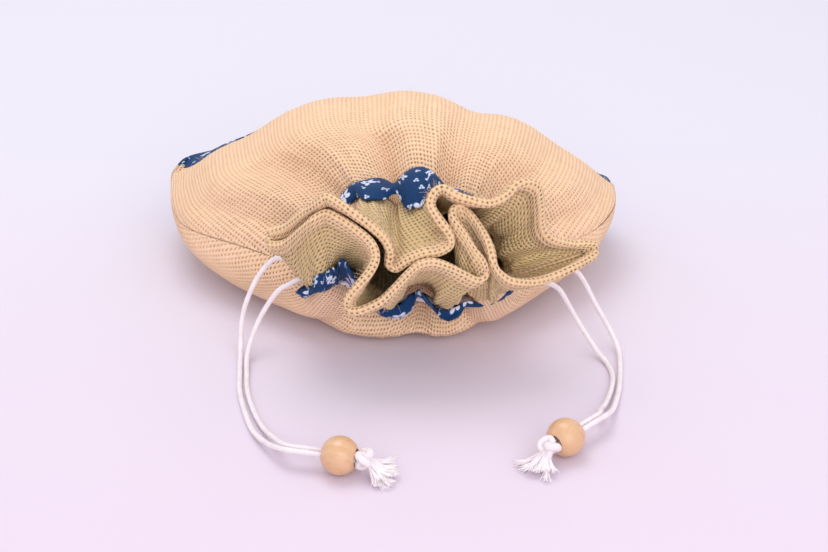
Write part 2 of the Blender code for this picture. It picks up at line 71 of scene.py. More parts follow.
BODY_WIDTH, BODY_HEIGHT, BODY_BACK, SEAM_HEIGHT = 196 * MM, 80 * MM, 75 * MM, 28 * MM
NECK = np.array([7, -39, 42]) * MM
NECK_WIDTH, NECK_HEIGHT, NECK_SIDE_DROP = 81 * MM, 46 * MM, 0.23
MOUTH_AXIS = np.array([0, -np.cos(np.radians(18)), np.sin(np.radians(18))])
NECK_LEAN = np.array([0, np.sin(np.radians(29)), np.cos(np.radians(29))])
CHANNEL_WIDTH, SEAM_GAP, JUTE = 15 * MM, 0.3 * MM, 1.2 * MM

# The body's profiles from the fold of the base to the neck, as shares of its sizes: the top's y
# and z, the bottom's y and z, the side's x, y and z. Then the left corner's extra, in mm.
PROFILES = [
    (1.00, 0.34, 1.00, 0.34, 0.86, 0.88, 0.94, (-4, 8, 4)),
    (1.00, 0.54, 0.96, 0.12, 0.95, 0.76, 0.97, (-3.5, 8, 4)),
    (0.88, 0.74, 0.83, 0.01, 0.99, 0.64, 1.00, (-3, 5, 2.5)),
    (0.65, 0.91, 0.62, -0.03, 1.00, 0.52, 1.00, (-1, 2, 1)),
    (0.34, 0.99, 0.25, -0.04, 0.975, 0.30, 1.00, (0, 0, 0)),
    (0.06, 0.97, -0.10, -0.04, 0.875, 0.04, 1.00, (0, 0, 0)),
]
SHOULDERS = [(0.50, (0, 3.0, 4.5), (0, -9.5, -8.0)), (0.82, (0, 1.6, 2.4), (0, -11.2, -9.4))]
TOP_SLACK = [1.8, 1.8, 1.8, 1.8, 1.75, 1.5, 1.25, 1.1, 1.0, 1.0, 1.0]
LOW_SLACK = 0.8
# Stations: where the tuck underneath starts, and the neck's back and front edge
TUCK_START, NECK_BACK, NECK_FRONT = 7.6, 8, 10
NECK_TUCK = 12 * MM
TUCKS = [(0.30, 0.10, 1.0), (0.52, 0.045, 0.5)]


def smooth_at(points, where):
    """Values of a Catmull-Rom spline through rows of points, at places counted in rows: in each
    span, a cubic through its two ends whose slopes join the points on either side."""
    points = np.asarray(points, float)
    ends = np.vstack([2 * points[0] - points[1], points, 2 * points[-1] - points[-2]])
    where = np.clip(np.asarray(where, float), 0, len(points) - 1)
    row = np.minimum(where.astype(int), len(points) - 2)
    t = (where - row)[..., None]
    a, b, c, d = (ends[row + i] for i in range(4))
    return b + 0.5 * t * (c - a + t * (2 * a - 5 * b + 4 * c - d + t * (3 * (b - c) + d - a)))


def run_along(grid, axis=0):
    """Running length along one axis of a grid of points."""
    step = np.linalg.norm(np.diff(grid, axis=axis), axis=-1)
    start = np.zeros_like(np.take(step, [0], axis))
    return np.concatenate([start, np.cumsum(step, axis)], axis)


def by_length(line, shares):
    """Points of a dense line at shares of its length."""
    run = run_along(line)
    return np.stack([np.interp(shares, run / run[-1], line[:, k]) for k in range(3)], -1)


def length_of(line):
    return float(np.linalg.norm(np.diff(line, axis=0), axis=1).sum())


def unit(vectors):
    return vectors / np.linalg.norm(vectors, axis=-1, keepdims=True)


def bell(places, at, width, power=2):
    """e to the minus of a power of the distance from a place, counted in widths."""
    return np.exp(-(((places - at) / width) ** power))


def tuck(places):
    """A bell across at each place where the neck's bottom is drawn up under an arch."""
    return sum(share * bell(places, at, width) for at, width, share in TUCKS)


def neck_ring(forward):
    """The neck's top, bottom and two side points, moved forward along the mouth's axis."""
    middle = NECK + MOUTH_AXIS * forward
    side = middle - NECK_LEAN * NECK_HEIGHT * NECK_SIDE_DROP
    half = np.array([NECK_WIDTH / 2, 0, 0])
    rise = NECK_LEAN * NECK_HEIGHT / 2
    return middle + rise, middle - rise, side - half, side + half


def station_lines():
    """The four lines along the body through its stations: top, bottom, left and right seam."""
    rows = []
    for top_y, top_z, low_y, low_z, side_x, side_y, side_z, corner in PROFILES:
        right = np.array([side_x * BODY_WIDTH / 2, side_y * BODY_BACK, side_z * SEAM_HEIGHT])
        left = right * np.array([-1, 1, 1]) + np.array(corner) * MM
        top = np.array([0, top_y * BODY_BACK, top_z * BODY_HEIGHT])
        low = np.array([0, low_y * BODY_BACK, low_z * BODY_HEIGHT])
        rows.append((top, low, left, right))
    behind, last = neck_ring(-CHANNEL_WIDTH / 2), rows[-1]
    for share, crest, chin in SHOULDERS:
        mixed = [a + (b - a) * share for a, b in zip(last, behind)]
        mixed[0] = mixed[0] + np.array(crest) * MM
        mixed[1] = mixed[1] + np.array(chin) * MM
        rows.append(tuple(mixed))
    rows += [neck_ring(forward * CHANNEL_WIDTH) for forward in (-0.5, 0.0, 0.5)]
    return [np.array(line) for line in zip(*rows)]


STATION_LINES = station_lines()


def body_surface(places, stations, side):
    """The stuffed body: each section is an arch between the seams, its height the sine of the
    place across to a power, over the top for side 1 and under the bottom for side -1. The
    neck's bottom is drawn up in bells."""
    top, low, left, right = STATION_LINES
    stations = np.asarray(stations, float)
    across = 0.5 - 0.5 * np.cos(np.pi * places)[None, :, None]
    left_at = smooth_at(left, stations)[:, None]
    right_at = smooth_at(right, stations)[:, None]
    peak = smooth_at(top if side > 0 else low, stations)[:, None]
    rise = peak - (left_at + right_at) / 2
    rise[..., 0] = 0
    slack = np.full(len(stations), LOW_SLACK)
    if side > 0:
        slack = np.interp(stations, np.arange(len(TOP_SLACK)), TOP_SLACK)
    arch = np.clip(np.sin(np.pi * places), 0, 1)[None] ** slack[:, None]
    lip = SEAM_GAP / 2 + JUTE / 2 * np.clip(slack - 1, 0, 1)
    surface = left_at + (right_at - left_at) * across
    surface = surface + rise * arch[..., None] + unit(rise) * lip[:, None, None]
    if side < 0:
        drawn = NECK_TUCK * np.interp(stations, (TUCK_START, NECK_FRONT), (0, 1))[:, None]
        surface[..., 2] += drawn * tuck(places)
        surface[..., 2] = np.maximum(surface[..., 2], JUTE / 2)
    return surface


CORD = 2.0 * MM
PAIR_SPREAD = 2.4 * MM
BEAD, BEAD_LENGTH, BEAD_TRAVEL = 14 * MM, 12 * MM, 12 * MM
BEADS = {
    "left": (np.array([-17.0, -130.3]) * MM, np.radians(-14)),
    "right": (np.array([63.2, -119.3]) * MM, np.radians(-136)),
}
# Routes outside the channels from the neck to the bead, in millimetres: upper, then lower
ROUTES = {
    "left": (
        [
            (-35.5, -44, 34.5), (-38.5, -43, 35.2), (-42.5, -40.5, 37), (-47, -39, 35.5),
            (-53, -40, 28.6), (-57.8, -43, 19), (-59.8, -47.5, 11), (-59.8, -56, 3),
            (-58.8, -69.6, 1.2), (-57.4, -82, 1.2), (-54.2, -95, 1.2), (-49.8, -108, 1.6),
            (-43.5, -119, 4.0),
        ],
        [
            (-36, -47, 31), (-40.5, -47, 28.8), (-44.8, -46.3, 25.5), (-50, -46.3, 17.8),
            (-54.2, -50, 10.3), (-56.8, -58, 3.4), (-56.0, -70.3, 1.2), (-54.4, -82.2, 1.2),
            (-50.8, -95, 1.2), (-46.4, -106, 1.8), (-41.5, -115.8, 4.2),
        ],
    ),
    "right": (
        [
            (49.7, -41, 34.5), (53.5, -40.5, 35.3), (60, -39, 35), (68, -38.5, 33.2),
            (75, -39.5, 29), (81.5, -42, 17.5), (87.4, -46.5, 8), (90.4, -53, 2.6),
            (90, -63, 1.2), (87.7, -78.7, 1.2), (84, -93, 2.2), (81, -101, 4.8),
        ],
        [
            (49.5, -41.5, 29), (53.5, -42, 28), (60, -44.5, 28.6), (66, -46, 26.5),
            (70.6, -46.5, 19), (75.4, -50, 11.5), (80.9, -54.5, 4.2), (85, -61, 1.3),
            (86.2, -70, 1.2), (84.6, -79.5, 1.3), (81, -91, 2.2), (78, -98.8, 4.8),
        ],
    ),
}
# The ring of each cord in the channels: its station, and how it is sampled
RING_STATIONS = {"left": 9.2, "right": 8.8}
RING_INSET, RING_POINTS, POINTS_PER_SPAN = 0.05, 17, 40


def bead_axis(turn):
    return np.array([np.cos(turn), np.sin(turn), 0])


def beside_of(axis):
    """The level direction square to an axis."""
    return np.array([-axis[1], axis[0], 0])


def bead_end(at, turn, spread):
    """The straight stretch of a cord behind and through its bead, up to the knot."""
    axis = bead_axis(turn)
    centre = np.array([*at, BEAD / 2]) + beside_of(axis) * spread / 2
    straight = BEAD_LENGTH / 2 + BEAD_TRAVEL
    return [centre + axis * s for s in (-straight - CORD, -0.6 * straight, 0, BEAD_LENGTH / 2)]


def cord_lines(side):
    """The whole cord as dense lines: the upper strand from the neck to the bead, the ring in
    the channels, and the lower strand from the neck to the bead."""
    at, turn = BEADS[side]
    upper, lower = (list(np.array(route) * MM) for route in ROUTES[side])
    station, spread = RING_STATIONS[side], PAIR_SPREAD if side == "left" else -PAIR_SPREAD
    there = np.linspace(RING_INSET, 1 - RING_INSET, RING_POINTS)
    if side == "right":
        there = there[::-1]
    ring = [*body_surface(there, [station], 1)[0], *body_surface(there[::-1], [station], -1)[0]]
    out, back = bead_end(at, turn, -spread), bead_end(at, turn, spread)
    route = np.array([*out[::-1], *upper[::-1], *ring, *lower, *back])
    first = len(out) + len(upper)
    last = first + len(ring) - 1
    cuts = ((first, 0), (first, last), (last, len(route) - 1))
    return [smooth_at(route, np.linspace(a, b, POINTS_PER_SPAN * abs(b - a) + 1)) for a, b in cuts]


def rope_frames(line):
    """Two unit vectors square to the line at each of its points, carried along without twist."""
    way = unit(np.gradient(line, axis=0))
    side = np.cross(way[0], (0, 0, 1))
    sides = []
    for direction in way:
        side = side - direction * (side @ direction)
        side = side / np.linalg.norm(side)
        sides.append(side)
    sides = np.array(sides)
    return sides, np.cross(way, sides)


def put_mesh(name, points, faces, layers=None):
    """A smooth mesh object with coordinate layers. The signed volume of its faces says whether
    they have to be turned outward."""
    points, faces = np.asarray(points, float), np.asarray(faces, int)
    a, b, c, d = (points[faces[:, k]] for k in range(4))
    volume = (a * np.cross(b, c)).sum() + (a * np.cross(c, d)).sum()
    if volume < 0:
        faces = faces[:, ::-1]
    mesh = bpy.data.meshes.new(name)
    mesh.from_pydata(points.tolist(), [], faces.tolist())
    for label, values in (layers or {}).items():
        layer = mesh.uv_layers.new(name=label)
        layer.uv.foreach_set("vector", np.asarray(values, float)[faces.ravel()].ravel())
    mesh.shade_smooth()
    return add_object(name, mesh)


PLY_SWELL = 1.6


def rope(name, line, radius, lay, plies=3, sides=18, step=0.45 * MM, depth=0.10):
    """A twisted cord: round the line, the radius dips between the plies, which turn once in each
    length of lay. Its coordinates are the length along and the way round, in metres."""
    length = length_of(line)
    count = int(length / step) + 1
    line = by_length(line, np.linspace(0, 1, count))
    one, two = rope_frames(line)
    along = np.linspace(0, length, count)[:, None]
    angle = np.linspace(0, 2 * np.pi, sides, endpoint=False)[None]
    turn = plies * (angle - 2 * np.pi * along / lay) / 2
    size = radius * (1 - depth + depth * PLY_SWELL * np.abs(np.cos(turn)))[..., None]
    ring = one[:, None] * np.cos(angle)[..., None] + two[:, None] * np.sin(angle)[..., None]
    points = (line[:, None] + ring * size).reshape(-1, 3)
    number = np.arange(count * sides).reshape(count, sides)
    a, b = number[:-1], number[1:]
    faces = np.stack([a, b, np.roll(b, -1, 1), np.roll(a, -1, 1)], -1).reshape(-1, 4)
    for row, end in ((number[0], line[0]), (number[-1][::-1], line[-1])):
        middle = len(points)
        points = np.vstack([points, end])
        ring_after = np.roll(row, -1)
        pairs = np.stack([row[::2], ring_after[::2], np.roll(row, -2)[::2]], -1)
        faces = np.vstack([faces, np.insert(pairs, 3, middle, axis=1)])
    spread = np.stack([
        np.repeat(along, sides, 1).ravel(),
        (np.repeat(angle, count, 0) * radius).ravel(),
    ], -1)
    spread = np.vstack([spread, spread[0], spread[-1]])
    return put_mesh(name, points, faces, {"weave": spread}), line


def new_material(name, colour, roughness):
    """A material, its Principled shader and its node tree."""
    made = bpy.data.materials.new(name)
    made.use_nodes = True
    shader = made.node_tree.nodes["Principled BSDF"]
    shader.inputs["Base Color"].default_value = (*colour, 1)
    shader.inputs["Roughness"].default_value = roughness
    made.diffuse_color = (*colour, 1)
    return made, shader, made.node_tree


def feed(tree, socket, value):
    """Another node's output, a plain colour or a number put into a node's input."""
    if hasattr(value, "links"):
        tree.links.new(value, socket)
    else:
        socket.default_value = (*value, 1) if isinstance(value, tuple) else value


def math_node(tree, kind, *values, clamp=False):
    """One math step in a node tree: a socket or a number goes to each input."""
    node = tree.nodes.new("ShaderNodeMath")
    node.operation = kind
    node.use_clamp = clamp
    for slot, value in enumerate(values):
        feed(tree, node.inputs[slot], value)
    return node.outputs[0]


def times(tree, first, second, clamp=False):
    return math_node(tree, "MULTIPLY", first, second, clamp=clamp)


def times_plus(tree, value, factor, added, clamp=False):
    """value x factor + added, if wanted held between 0 and 1."""
    return math_node(tree, "MULTIPLY_ADD", value, factor, added, clamp=clamp)


def mix_colours(tree, factor, first, second, kind="MIX"):
    """Two colours mixed by a factor, each a socket or a plain colour."""
    node = tree.nodes.new("ShaderNodeMix")
    node.data_type = "RGBA"
    node.blend_type = kind
    for slot, value in ((0, factor), (6, first), (7, second)):
        feed(tree, node.inputs[slot], value)
    return node.outputs[2]


def layer_at(tree, label):
    """The vectors of one of the mesh's coordinate layers."""
    node = tree.nodes.new("ShaderNodeUVMap")
    node.uv_map = label
    return node.outputs[0]


def split_of(tree, vector):
    """The three parts of a vector."""
    node = tree.nodes.new("ShaderNodeSeparateXYZ")
    tree.links.new(vector, node.inputs[0])
    return node.outputs


def joined_of(tree, *parts):
    """A vector of parts, each a socket or a number."""
    node = tree.nodes.new("ShaderNodeCombineXYZ")
    for slot, value in enumerate(parts):
        feed(tree, node.inputs[slot], value)
    return node.outputs[0]


def add_bump(tree, shader, height, strength, distance, invert=False):
    """Relief on a shader, with its distance in metres."""
    node = tree.nodes.new("ShaderNodeBump")
    node.inputs["Strength"].default_value = strength
    node.inputs["Distance"].default_value = distance
    node.invert = invert
    tree.links.new(height, node.inputs["Height"])
    tree.links.new(node.outputs[0], shader.inputs["Normal"])


def noise_at(tree, vector, scale, detail=3.0, rough=0.5):
    """Soft noise at a vector, with the scale in cells to the metre."""
    node = tree.nodes.new("ShaderNodeTexNoise")
    node.inputs["Scale"].default_value = scale
    node.inputs["Detail"].default_value = detail
    node.inputs["Roughness"].default_value = rough
    tree.links.new(vector, node.inputs["Vector"])
    return node.outputs["Fac"]


def stretched(tree, vector, scale):
    """A vector scaled by its own amount in each direction."""
    node = tree.nodes.new("ShaderNodeMapping")
    node.inputs["Scale"].default_value = scale
    tree.links.new(vector, node.inputs["Vector"])
    return node.outputs["Vector"]


CORD_TWIST = 5.4 * MM
CORD_COLOUR, CORD_SHADE = (0.88, 0.80, 0.835), (0.68, 0.60, 0.62)
CORD_GRAIN = (500, 3200, 1)

cord_cotton, shader, tree = new_material("cord_cotton", CORD_COLOUR, 0.92)
coords = layer_at(tree, "weave")
fuzz = noise_at(tree, stretched(tree, coords, CORD_GRAIN), 1.0, 4.0)
patches = noise_at(tree, coords, 220, 2.0)
shade = times_plus(tree, times(tree, fuzz, patches), -2.4, 1.05, clamp=True)
tree.links.new(mix_colours(tree, shade, CORD_COLOUR, CORD_SHADE), shader.inputs["Base Color"])
add_bump(tree, shader, fuzz, 0.5, 0.15 * MM)
shader.inputs["Sheen Weight"].default_value = 0.15

strands = {}
for side in ("left", "right"):
    upper, ring, lower = cord_lines(side)
    for part, line in (("upper", upper), ("lower", lower), ("loop", ring)):
        strand, route = rope(f"{side}_cord_{part}", line, CORD / 2, CORD_TWIST)
        strand.data.materials.append(cord_cotton)
        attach(strand, "pouch")
        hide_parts(side + "_cord")
        strands[side, part] = strand, route, length_of(line)


# Jute panels: a front and a back cut from one open plain weave, sewn together along the sides.
# Their raw edge at the mouth is turned in twice, which makes a thick hem. The drawcords gather
# them at the neck, and in front of it the hem stands out in tall folds.
HEM, HEM_WIDTH, COTTON = 3.6 * MM, 5 * MM, 0.6 * MM
PLEAT_DEPTH = 7 * MM
CORD_ROOM = 3 * SEAM_GAP
TOP_BEND, TOP_BEND_DOWN, BEND_DROP = 0.35, 0.12, 10 * MM
LOW_BEND, LOW_BEND_TUCKED = 0.6, 0.25
BAND_STATION, REST_STATION = 2.6, 5
# At the band's upper seam the cloth sinks, more in three bells: place across, half width, share.
# The sinking fades in and out at these distances from the seam, in stations.
SETTLE, SETTLE_BELLS = 2.6 * MM, ((0.14, 0.09, 0.9), (0.29, 0.08, 0.9), (0.62, 0.07, 0.7))
SETTLE_FADE = (-2.0, -0.4, 0.1, 1.3)
# Slide of the rows towards the base at the corners: place across, half width, stations
CORNER_SLIDES = ((0, 0.15, 1.15), (1, 0.12, 0.5))
ROWS_PER_STATION = 60
# Underneath, beside the arches, the body bulges forward over the drawn-in channel: each bulge's
# place across and half width, and how far it comes forward and up, in millimetres
BULGE_STATION, BULGE_LENGTH = 7.8, 0.45
BULGES = [(0.22, 0.10, (0, -15, 11)), (0.80, 0.115, (0, -20, 12.5))]
# Drawn in under the cords between these stations. Behind the neck the pleats get deeper on top
# and shallower underneath, and the cloth loosens, over so many stations.
WAIST, PLEATS_BEHIND = (8, 8.6, 9.4, 10), {1: 0.35, -1: -0.5}
PLEATS_FADE, LOOSE_FADE = 1.5, 0.5
# Waves across the cloth: count, phase and strength. The fine ones are weaker underneath.
FINE_WAVES = (23, 0.1, 0.5), (31, 0.4, 0.4), (13, 0.7, 0.7)
FINE_SHARE, FINE_REACH, FINE_HEIGHT = {1: 1, -1: 0.25}, 17, 0.75
SLACK_WAVES, SLACK_HEIGHT = ((3.1, 0.2, 0.5), (5.3, 0.6, 0.3)), 0.8
RIDGE_WAVES, RIDGE_HEIGHT = ((15, 0.1, 0.5), (22, 0.35, 0.4), (34, 0.7, 0.2)), 1.3
RIDGE_START, RIDGE_SWAY = 0.12, 0.012
# Where shares across the cloth lie on the neck's ring
TOP_WARP = (
    [0, 0.17, 0.36, 0.48, 0.60, 0.69, 0.77, 0.90, 1],
    [0, 0.24, 0.45, 0.53, 0.60, 0.68, 0.76, 0.89, 1],
)
LOW_WARP = (
    [0, 0.13, 0.27, 0.42, 0.52, 0.60, 0.67, 0.71, 0.80, 0.87, 1],
    [0, 0.22, 0.36, 0.46, 0.56, 0.62, 0.65, 0.70, 0.79, 0.88, 1],
)
# Gathers: place across, depth as a share of the deepest, half width, and reach into the body
TOP_PLEATS = [
    (0.12, 0.55, 0.035, 22 * MM), (0.27, 0.90, 0.050, 45 * MM), (0.46, 1.00, 0.042, 50 * MM),
    (0.62, 0.80, 0.036, 70 * MM), (0.76, 0.70, 0.040, 34 * MM), (0.90, 0.50, 0.032, 24 * MM),
]
LOW_PLEATS = [
    (0.14, 0.40, 0.050, 20 * MM), (0.29, 0.90, 0.045, 26 * MM), (0.53, 0.90, 0.045, 26 * MM),
    (0.69, 0.80, 0.038, 26 * MM), (0.88, 0.35, 0.050, 20 * MM),
]
NECK_REACH = [125, 108, 92, 74, 50, 25, 14, 6, 0, 0, 0]
# The hem from the left seam to the right: millimetres across, forward and up from the neck
TOP_HEM = [
    (-52.8, -15.0, 11.8), (-52.3, -15.0, 13.6), (-46.0, -18.0, 17.4), (-39.5, -22.0, 25.0),
    (-33.5, -26.0, 31.5), (-30.0, -27.0, 34.0), (-26.2, -28.0, 32.5), (-20.7, -29.0, 28.8),
    (-14.2, -30.0, 24.0), (-9.1, -31.0, 19.1), (-6.9, -32.0, 14.2), (-7.2, -32.5, 9.6),
    (-4.6, -33.0, 8.0), (-0.2, -33.0, 10.9), (5.7, -33.0, 13.5), (11.0, -32.5, 14.4),
    (15.2, -31.5, 16.9), (14.9, -30.0, 20.7), (10.8, -28.0, 25.8), (8.1, -25.0, 30.1),
    (9.6, -23.0, 34.0), (12.9, -22.5, 35.4), (17.5, -23.0, 32.8), (23.4, -24.0, 31.3),
    (30.1, -24.0, 30.4), (35.8, -23.0, 32.6), (39.5, -21.0, 35.8), (43.8, -20.0, 36.7),
    (48.0, -19.0, 33.8), (49.4, -19.0, 27.2), (50.3, -18.5, 18.0), (53.6, -18.0, 12.6),
    (61.5, -14.5, 8.6), (69.5, -13.5, 7.8), (71.4, -13.5, 5.8),
]
LOW_HEM = [
    (-52.8, -16.5, 11.0), (-51.5, -18.0, 9.8), (-46.5, -21.0, 12.0), (-40.7, -24.5, 18.8),
    (-35.5, -27.0, 25.0), (-30.4, -27.0, 27.6), (-25.2, -29.0, 26.1), (-18.6, -31.0, 22.2),
    (-13.8, -33.5, 18.4), (-12.2, -36.0, 14.0), (-14.2, -38.0, 9.3), (-18.4, -39.0, 4.0),
    (-22.3, -39.0, -1.6), (-22.4, -39.0, -5.8), (-18.2, -39.5, -6.6), (-10.2, -39.0, -2.8),
    (-4.9, -38.0, 2.3), (-0.4, -37.5, 7.5), (4.0, -37.5, 11.6), (9.3, -37.5, 12.6),
    (15.3, -37.5, 10.4), (20.9, -36.0, 6.3), (25.2, -35.2, 3.9), (28.4, -34.0, 6.0),
    (27.6, -32.8, 10.0), (24.6, -32.0, 14.2), (20.6, -30.0, 20.5), (16.8, -27.0, 25.0),
    (16.6, -24.5, 27.6), (19.2, -23.0, 28.0), (22.8, -23.0, 25.4), (27.0, -25.5, 20.2),
    (30.0, -29.0, 15.2), (31.6, -31.5, 9.7), (34.1, -32.0, 4.9), (39.5, -31.0, 0.9),
    (48.9, -27.0, -0.9), (59.6, -22.0, 0.6), (69.5, -17.0, 3.6), (71.4, -15.0, 4.8),
]
PANEL_COLUMNS, BODY_ROWS, MOUTH_ROWS, EDGE_ROWS = 292, 112, 36, 6
# Sampling of the hem's route, for each of its points and in all, and of the body's middle line
HEM_STEPS, HEM_SAMPLES, LINE_SAMPLES = 60, 1200, 400


def normals_of(grid):
    """Unit normals of a grid of points: the way down the rows crossed with the way across."""
    return unit(np.cross(np.gradient(grid, axis=0), np.gradient(grid, axis=1)))


def pleat_depth(places, stations, side):
    """How far the gathers draw the cloth in: each is a bell across, which is full at the neck
    and falls off with the distance from it. Underneath they end where the body rests."""
    away = np.interp(stations, np.arange(len(NECK_REACH)), NECK_REACH)[:, None] * MM
    depth = np.zeros((len(stations), len(places)))
    for place, share, width, reach in TOP_PLEATS if side > 0 else LOW_PLEATS:
        valley = bell(places, place, width)[None]
        depth += PLEAT_DEPTH * share * valley * np.exp(-away / reach)
    if side < 0:
        depth *= np.clip(stations - REST_STATION, 0, 1)[:, None]
    return depth


def even_stations(first, last, count, side):
    """Stations along the body whose steps are even in length along its middle line."""
    dense = np.linspace(first, last, LINE_SAMPLES)
    line = body_surface(np.array([0.5]), dense, side)[:, 0]
    run = run_along(line)
    return np.interp(np.linspace(0, run[-1], count), run, dense)


def hem_shares(line, count):
    """Shares across a panel, closer together where its hem turns: each step has an even part
    of the line's length and of its turning."""
    way = unit(np.diff(line, axis=0))
    turn = np.append(np.linalg.norm(np.diff(way, axis=0), axis=1), 0)
    turn = np.convolve(turn, np.ones(25) / 25, mode="same")
    run = np.concatenate([[0], np.cumsum(1 / len(turn) + 0.5 * turn / turn.sum())])
    return np.interp(np.linspace(0, 1, count), run / run[-1], np.linspace(0, 1, len(run)))


def waves(shares, *parts):
    """A sum of sines across the cloth, each with its count, phase and strength."""
    return sum(s * np.sin(2 * np.pi * (n * shares + p)) for n, p, s in parts)


def settled(places, stations):
    """How far the cloth sinks at the band's upper seam: a share of SETTLE across, more in three
    bells, full at the seam and none at the fold or 1.3 stations in front of the seam."""
    across = np.clip(np.sin(np.pi * places), 0, 1) ** 0.5
    for at, width, share in SETTLE_BELLS:
        across = across + share * bell(places, at, width)
    fade = [BAND_STATION + step for step in SETTLE_FADE]
    return SETTLE * across * np.interp(stations, fade, (0, 1, 1, 0))[:, None]


def slid_surface(places, stations, side):
    """The body with its rows slid towards the base near the corners, where the band is narrower:
    each point lies between two rows of a dense grid. The slide is full up to the band's seam."""
    slide = sum(most * bell(places, at, width) for at, width, most in CORNER_SLIDES)
    share = np.interp(stations, (0, BAND_STATION, REST_STATION), (0, 1, 0))[:, None]
    where = (stations[:, None] - slide * share) * ROWS_PER_STATION
    dense = np.linspace(0, NECK_FRONT, NECK_FRONT * ROWS_PER_STATION + 1)
    grid = body_surface(places, dense, side)
    row = np.clip(where.astype(int), 0, len(dense) - 2)
    part = (where - row)[..., None]
    column = np.arange(len(places))
    return grid[row, column] * (1 - part) + grid[row + 1, column] * part


def panel_grid(side):
    """The panel's middle surface as rows from the band's seam to the hem, and how many of them
    belong to the body. The mouth's rows are quadratic curves from the neck to the hem."""
    hem_route = np.array(TOP_HEM if side > 0 else LOW_HEM) * MM + NECK
    where = np.linspace(0, len(hem_route) - 1, HEM_STEPS * len(hem_route))
    dense = smooth_at(hem_route, where)
    shares = hem_shares(by_length(dense, np.linspace(0, 1, HEM_SAMPLES)), PANEL_COLUMNS)
    stations = even_stations(BAND_STATION, NECK_FRONT, BODY_ROWS, side)
    places = np.interp(shares, *(TOP_WARP if side > 0 else LOW_WARP))
    smooth = slid_surface(places, stations, side)
    outward = normals_of(smooth) * side
    waist = np.interp(stations, WAIST, (0, 1, 1, 0))[:, None]
    pleats = pleat_depth(places, stations, side)
    behind = np.clip((NECK_BACK - stations) / PLEATS_FADE, 0, 1)[:, None]
    pleats *= 1 + behind * PLEATS_BEHIND[side]
    drawn = pleats + waist * (CORD / 2 + JUTE / 2 + CORD_ROOM)
    away = np.interp(stations, np.arange(len(NECK_REACH)), NECK_REACH)[:, None]
    open_cloth = np.clip((NECK_BACK - stations) / LOOSE_FADE, 0, 1)[:, None]
    open_cloth = open_cloth * np.sin(np.pi * places) ** 0.5
    fine = waves(places, *FINE_WAVES) * np.exp(-away / FINE_REACH) * FINE_SHARE[side]
    slack = waves(places + stations[:, None] * 0.03, *SLACK_WAVES)
    slack = slack * np.sin(stations[:, None] * 2.4 + 4 * places)
    drawn = drawn - open_cloth * (fine * FINE_HEIGHT + slack * SLACK_HEIGHT) * MM
    body = smooth - outward * drawn[..., None]
    if side > 0:
        body[..., 2] -= settled(places, stations)
    else:
        along = bell(stations, BULGE_STATION, BULGE_LENGTH)[:, None]
        for at, width, way in BULGES:
            body = body + (bell(places, at, width, 4) * along)[..., None] * np.array(way) * MM
        body[..., 2] = np.maximum(body[..., 2], JUTE / 2)
    start = body[-1]
    hem = by_length(dense, shares)
    down = np.clip((start - hem)[:, 2] / BEND_DROP, 0, 1)
    share = LOW_BEND + (LOW_BEND_TUCKED - LOW_BEND) * tuck(places)
    if side > 0:
        share = TOP_BEND + (TOP_BEND_DOWN - TOP_BEND) * down
    bend = start + MOUTH_AXIS * (((hem - start) @ MOUTH_AXIS) * share)[:, None]
    t = np.linspace(0, 1, MOUTH_ROWS + 1)[1:, None, None]
    mouth = (1 - t) ** 2 * start + 2 * t * (1 - t) * bend + t**2 * hem
    t_row = t[..., 0]
    ridges = waves(shares + RIDGE_SWAY * np.sin(3 * t_row), *RIDGE_WAVES)
    ridges = ridges * np.clip(t_row / RIDGE_START, 0, 1) * (1 - t_row) ** 0.8 * RIDGE_HEIGHT * MM
    mouth = mouth + normals_of(mouth) * (side * ridges)[..., None]
    middle = np.concatenate([body, mouth])
    middle[0] += unit(middle[1] - middle[0]) * SEAM_GAP / 2
    return middle, len(body)


def closed_cloth(name, middle, outward, half, weave, edge, round_edge=True):
    """A cloth of real thickness: the middle surface moved half the thickness to each side, and
    closed. Past its last row the edge is a half circle in the plane of the normal and the way
    forward. The second layer holds the inside's share and the distance to the edge."""
    half = np.broadcast_to(half, middle.shape[:2])[..., None]
    outer, inner = middle + outward * half, (middle - outward * half)[::-1]
    turn = np.linspace(0, np.pi, EDGE_ROWS + 2)[1:-1] if round_edge else np.zeros(0)
    turn = turn[:, None, None]
    ahead = unit(middle[-1] - middle[-2])
    rim = middle[-1] + half[-1] * (outward[-1] * np.cos(turn) + ahead * np.sin(turn))
    grid = np.concatenate([outer, rim, inner])
    rows, columns = grid.shape[:2]
    number = np.arange(rows * columns).reshape(rows, columns)
    a, b = number[:, :-1], number[:, 1:]
    faces = np.stack([a, b, np.roll(b, -1, 0), np.roll(a, -1, 0)], -1).reshape(-1, 4)
    k = np.arange(rows // 2 - 1)
    left, right = number[:, 0], number[:, -1]
    faces = np.concatenate([
        faces,
        np.stack([left[k], left[k + 1], left[rows - 2 - k], left[rows - 1 - k]], -1),
        np.stack([right[k + 1], right[k], right[rows - 1 - k], right[rows - 2 - k]], -1),
    ])
    rim_weave = np.repeat(weave[-1:], len(turn), 0)
    swing = np.broadcast_to(turn, (*turn.shape[:1], columns, 1))[..., 0]
    rim_weave[..., 1] += swing * half[-1, :, 0]
    inner_weave = weave[::-1].copy()
    inner_weave[..., 1] += np.pi * half[-1, :, 0] if round_edge else 0
    none = np.zeros((len(turn), columns))
    behind = np.clip((edge[::-1] - HEM_WIDTH) / HEM_WIDTH, 0, 1)
    place = np.stack([
        np.concatenate([np.zeros_like(edge), none, behind]),
        np.concatenate([edge, none, edge[::-1]]),
    ], -1)
    layers = {
        "weave": np.concatenate([weave, rim_weave, inner_weave]).reshape(-1, 2),
        "place": place.reshape(-1, 2),
    }
    return put_mesh(name, grid.reshape(-1, 3), faces, layers)


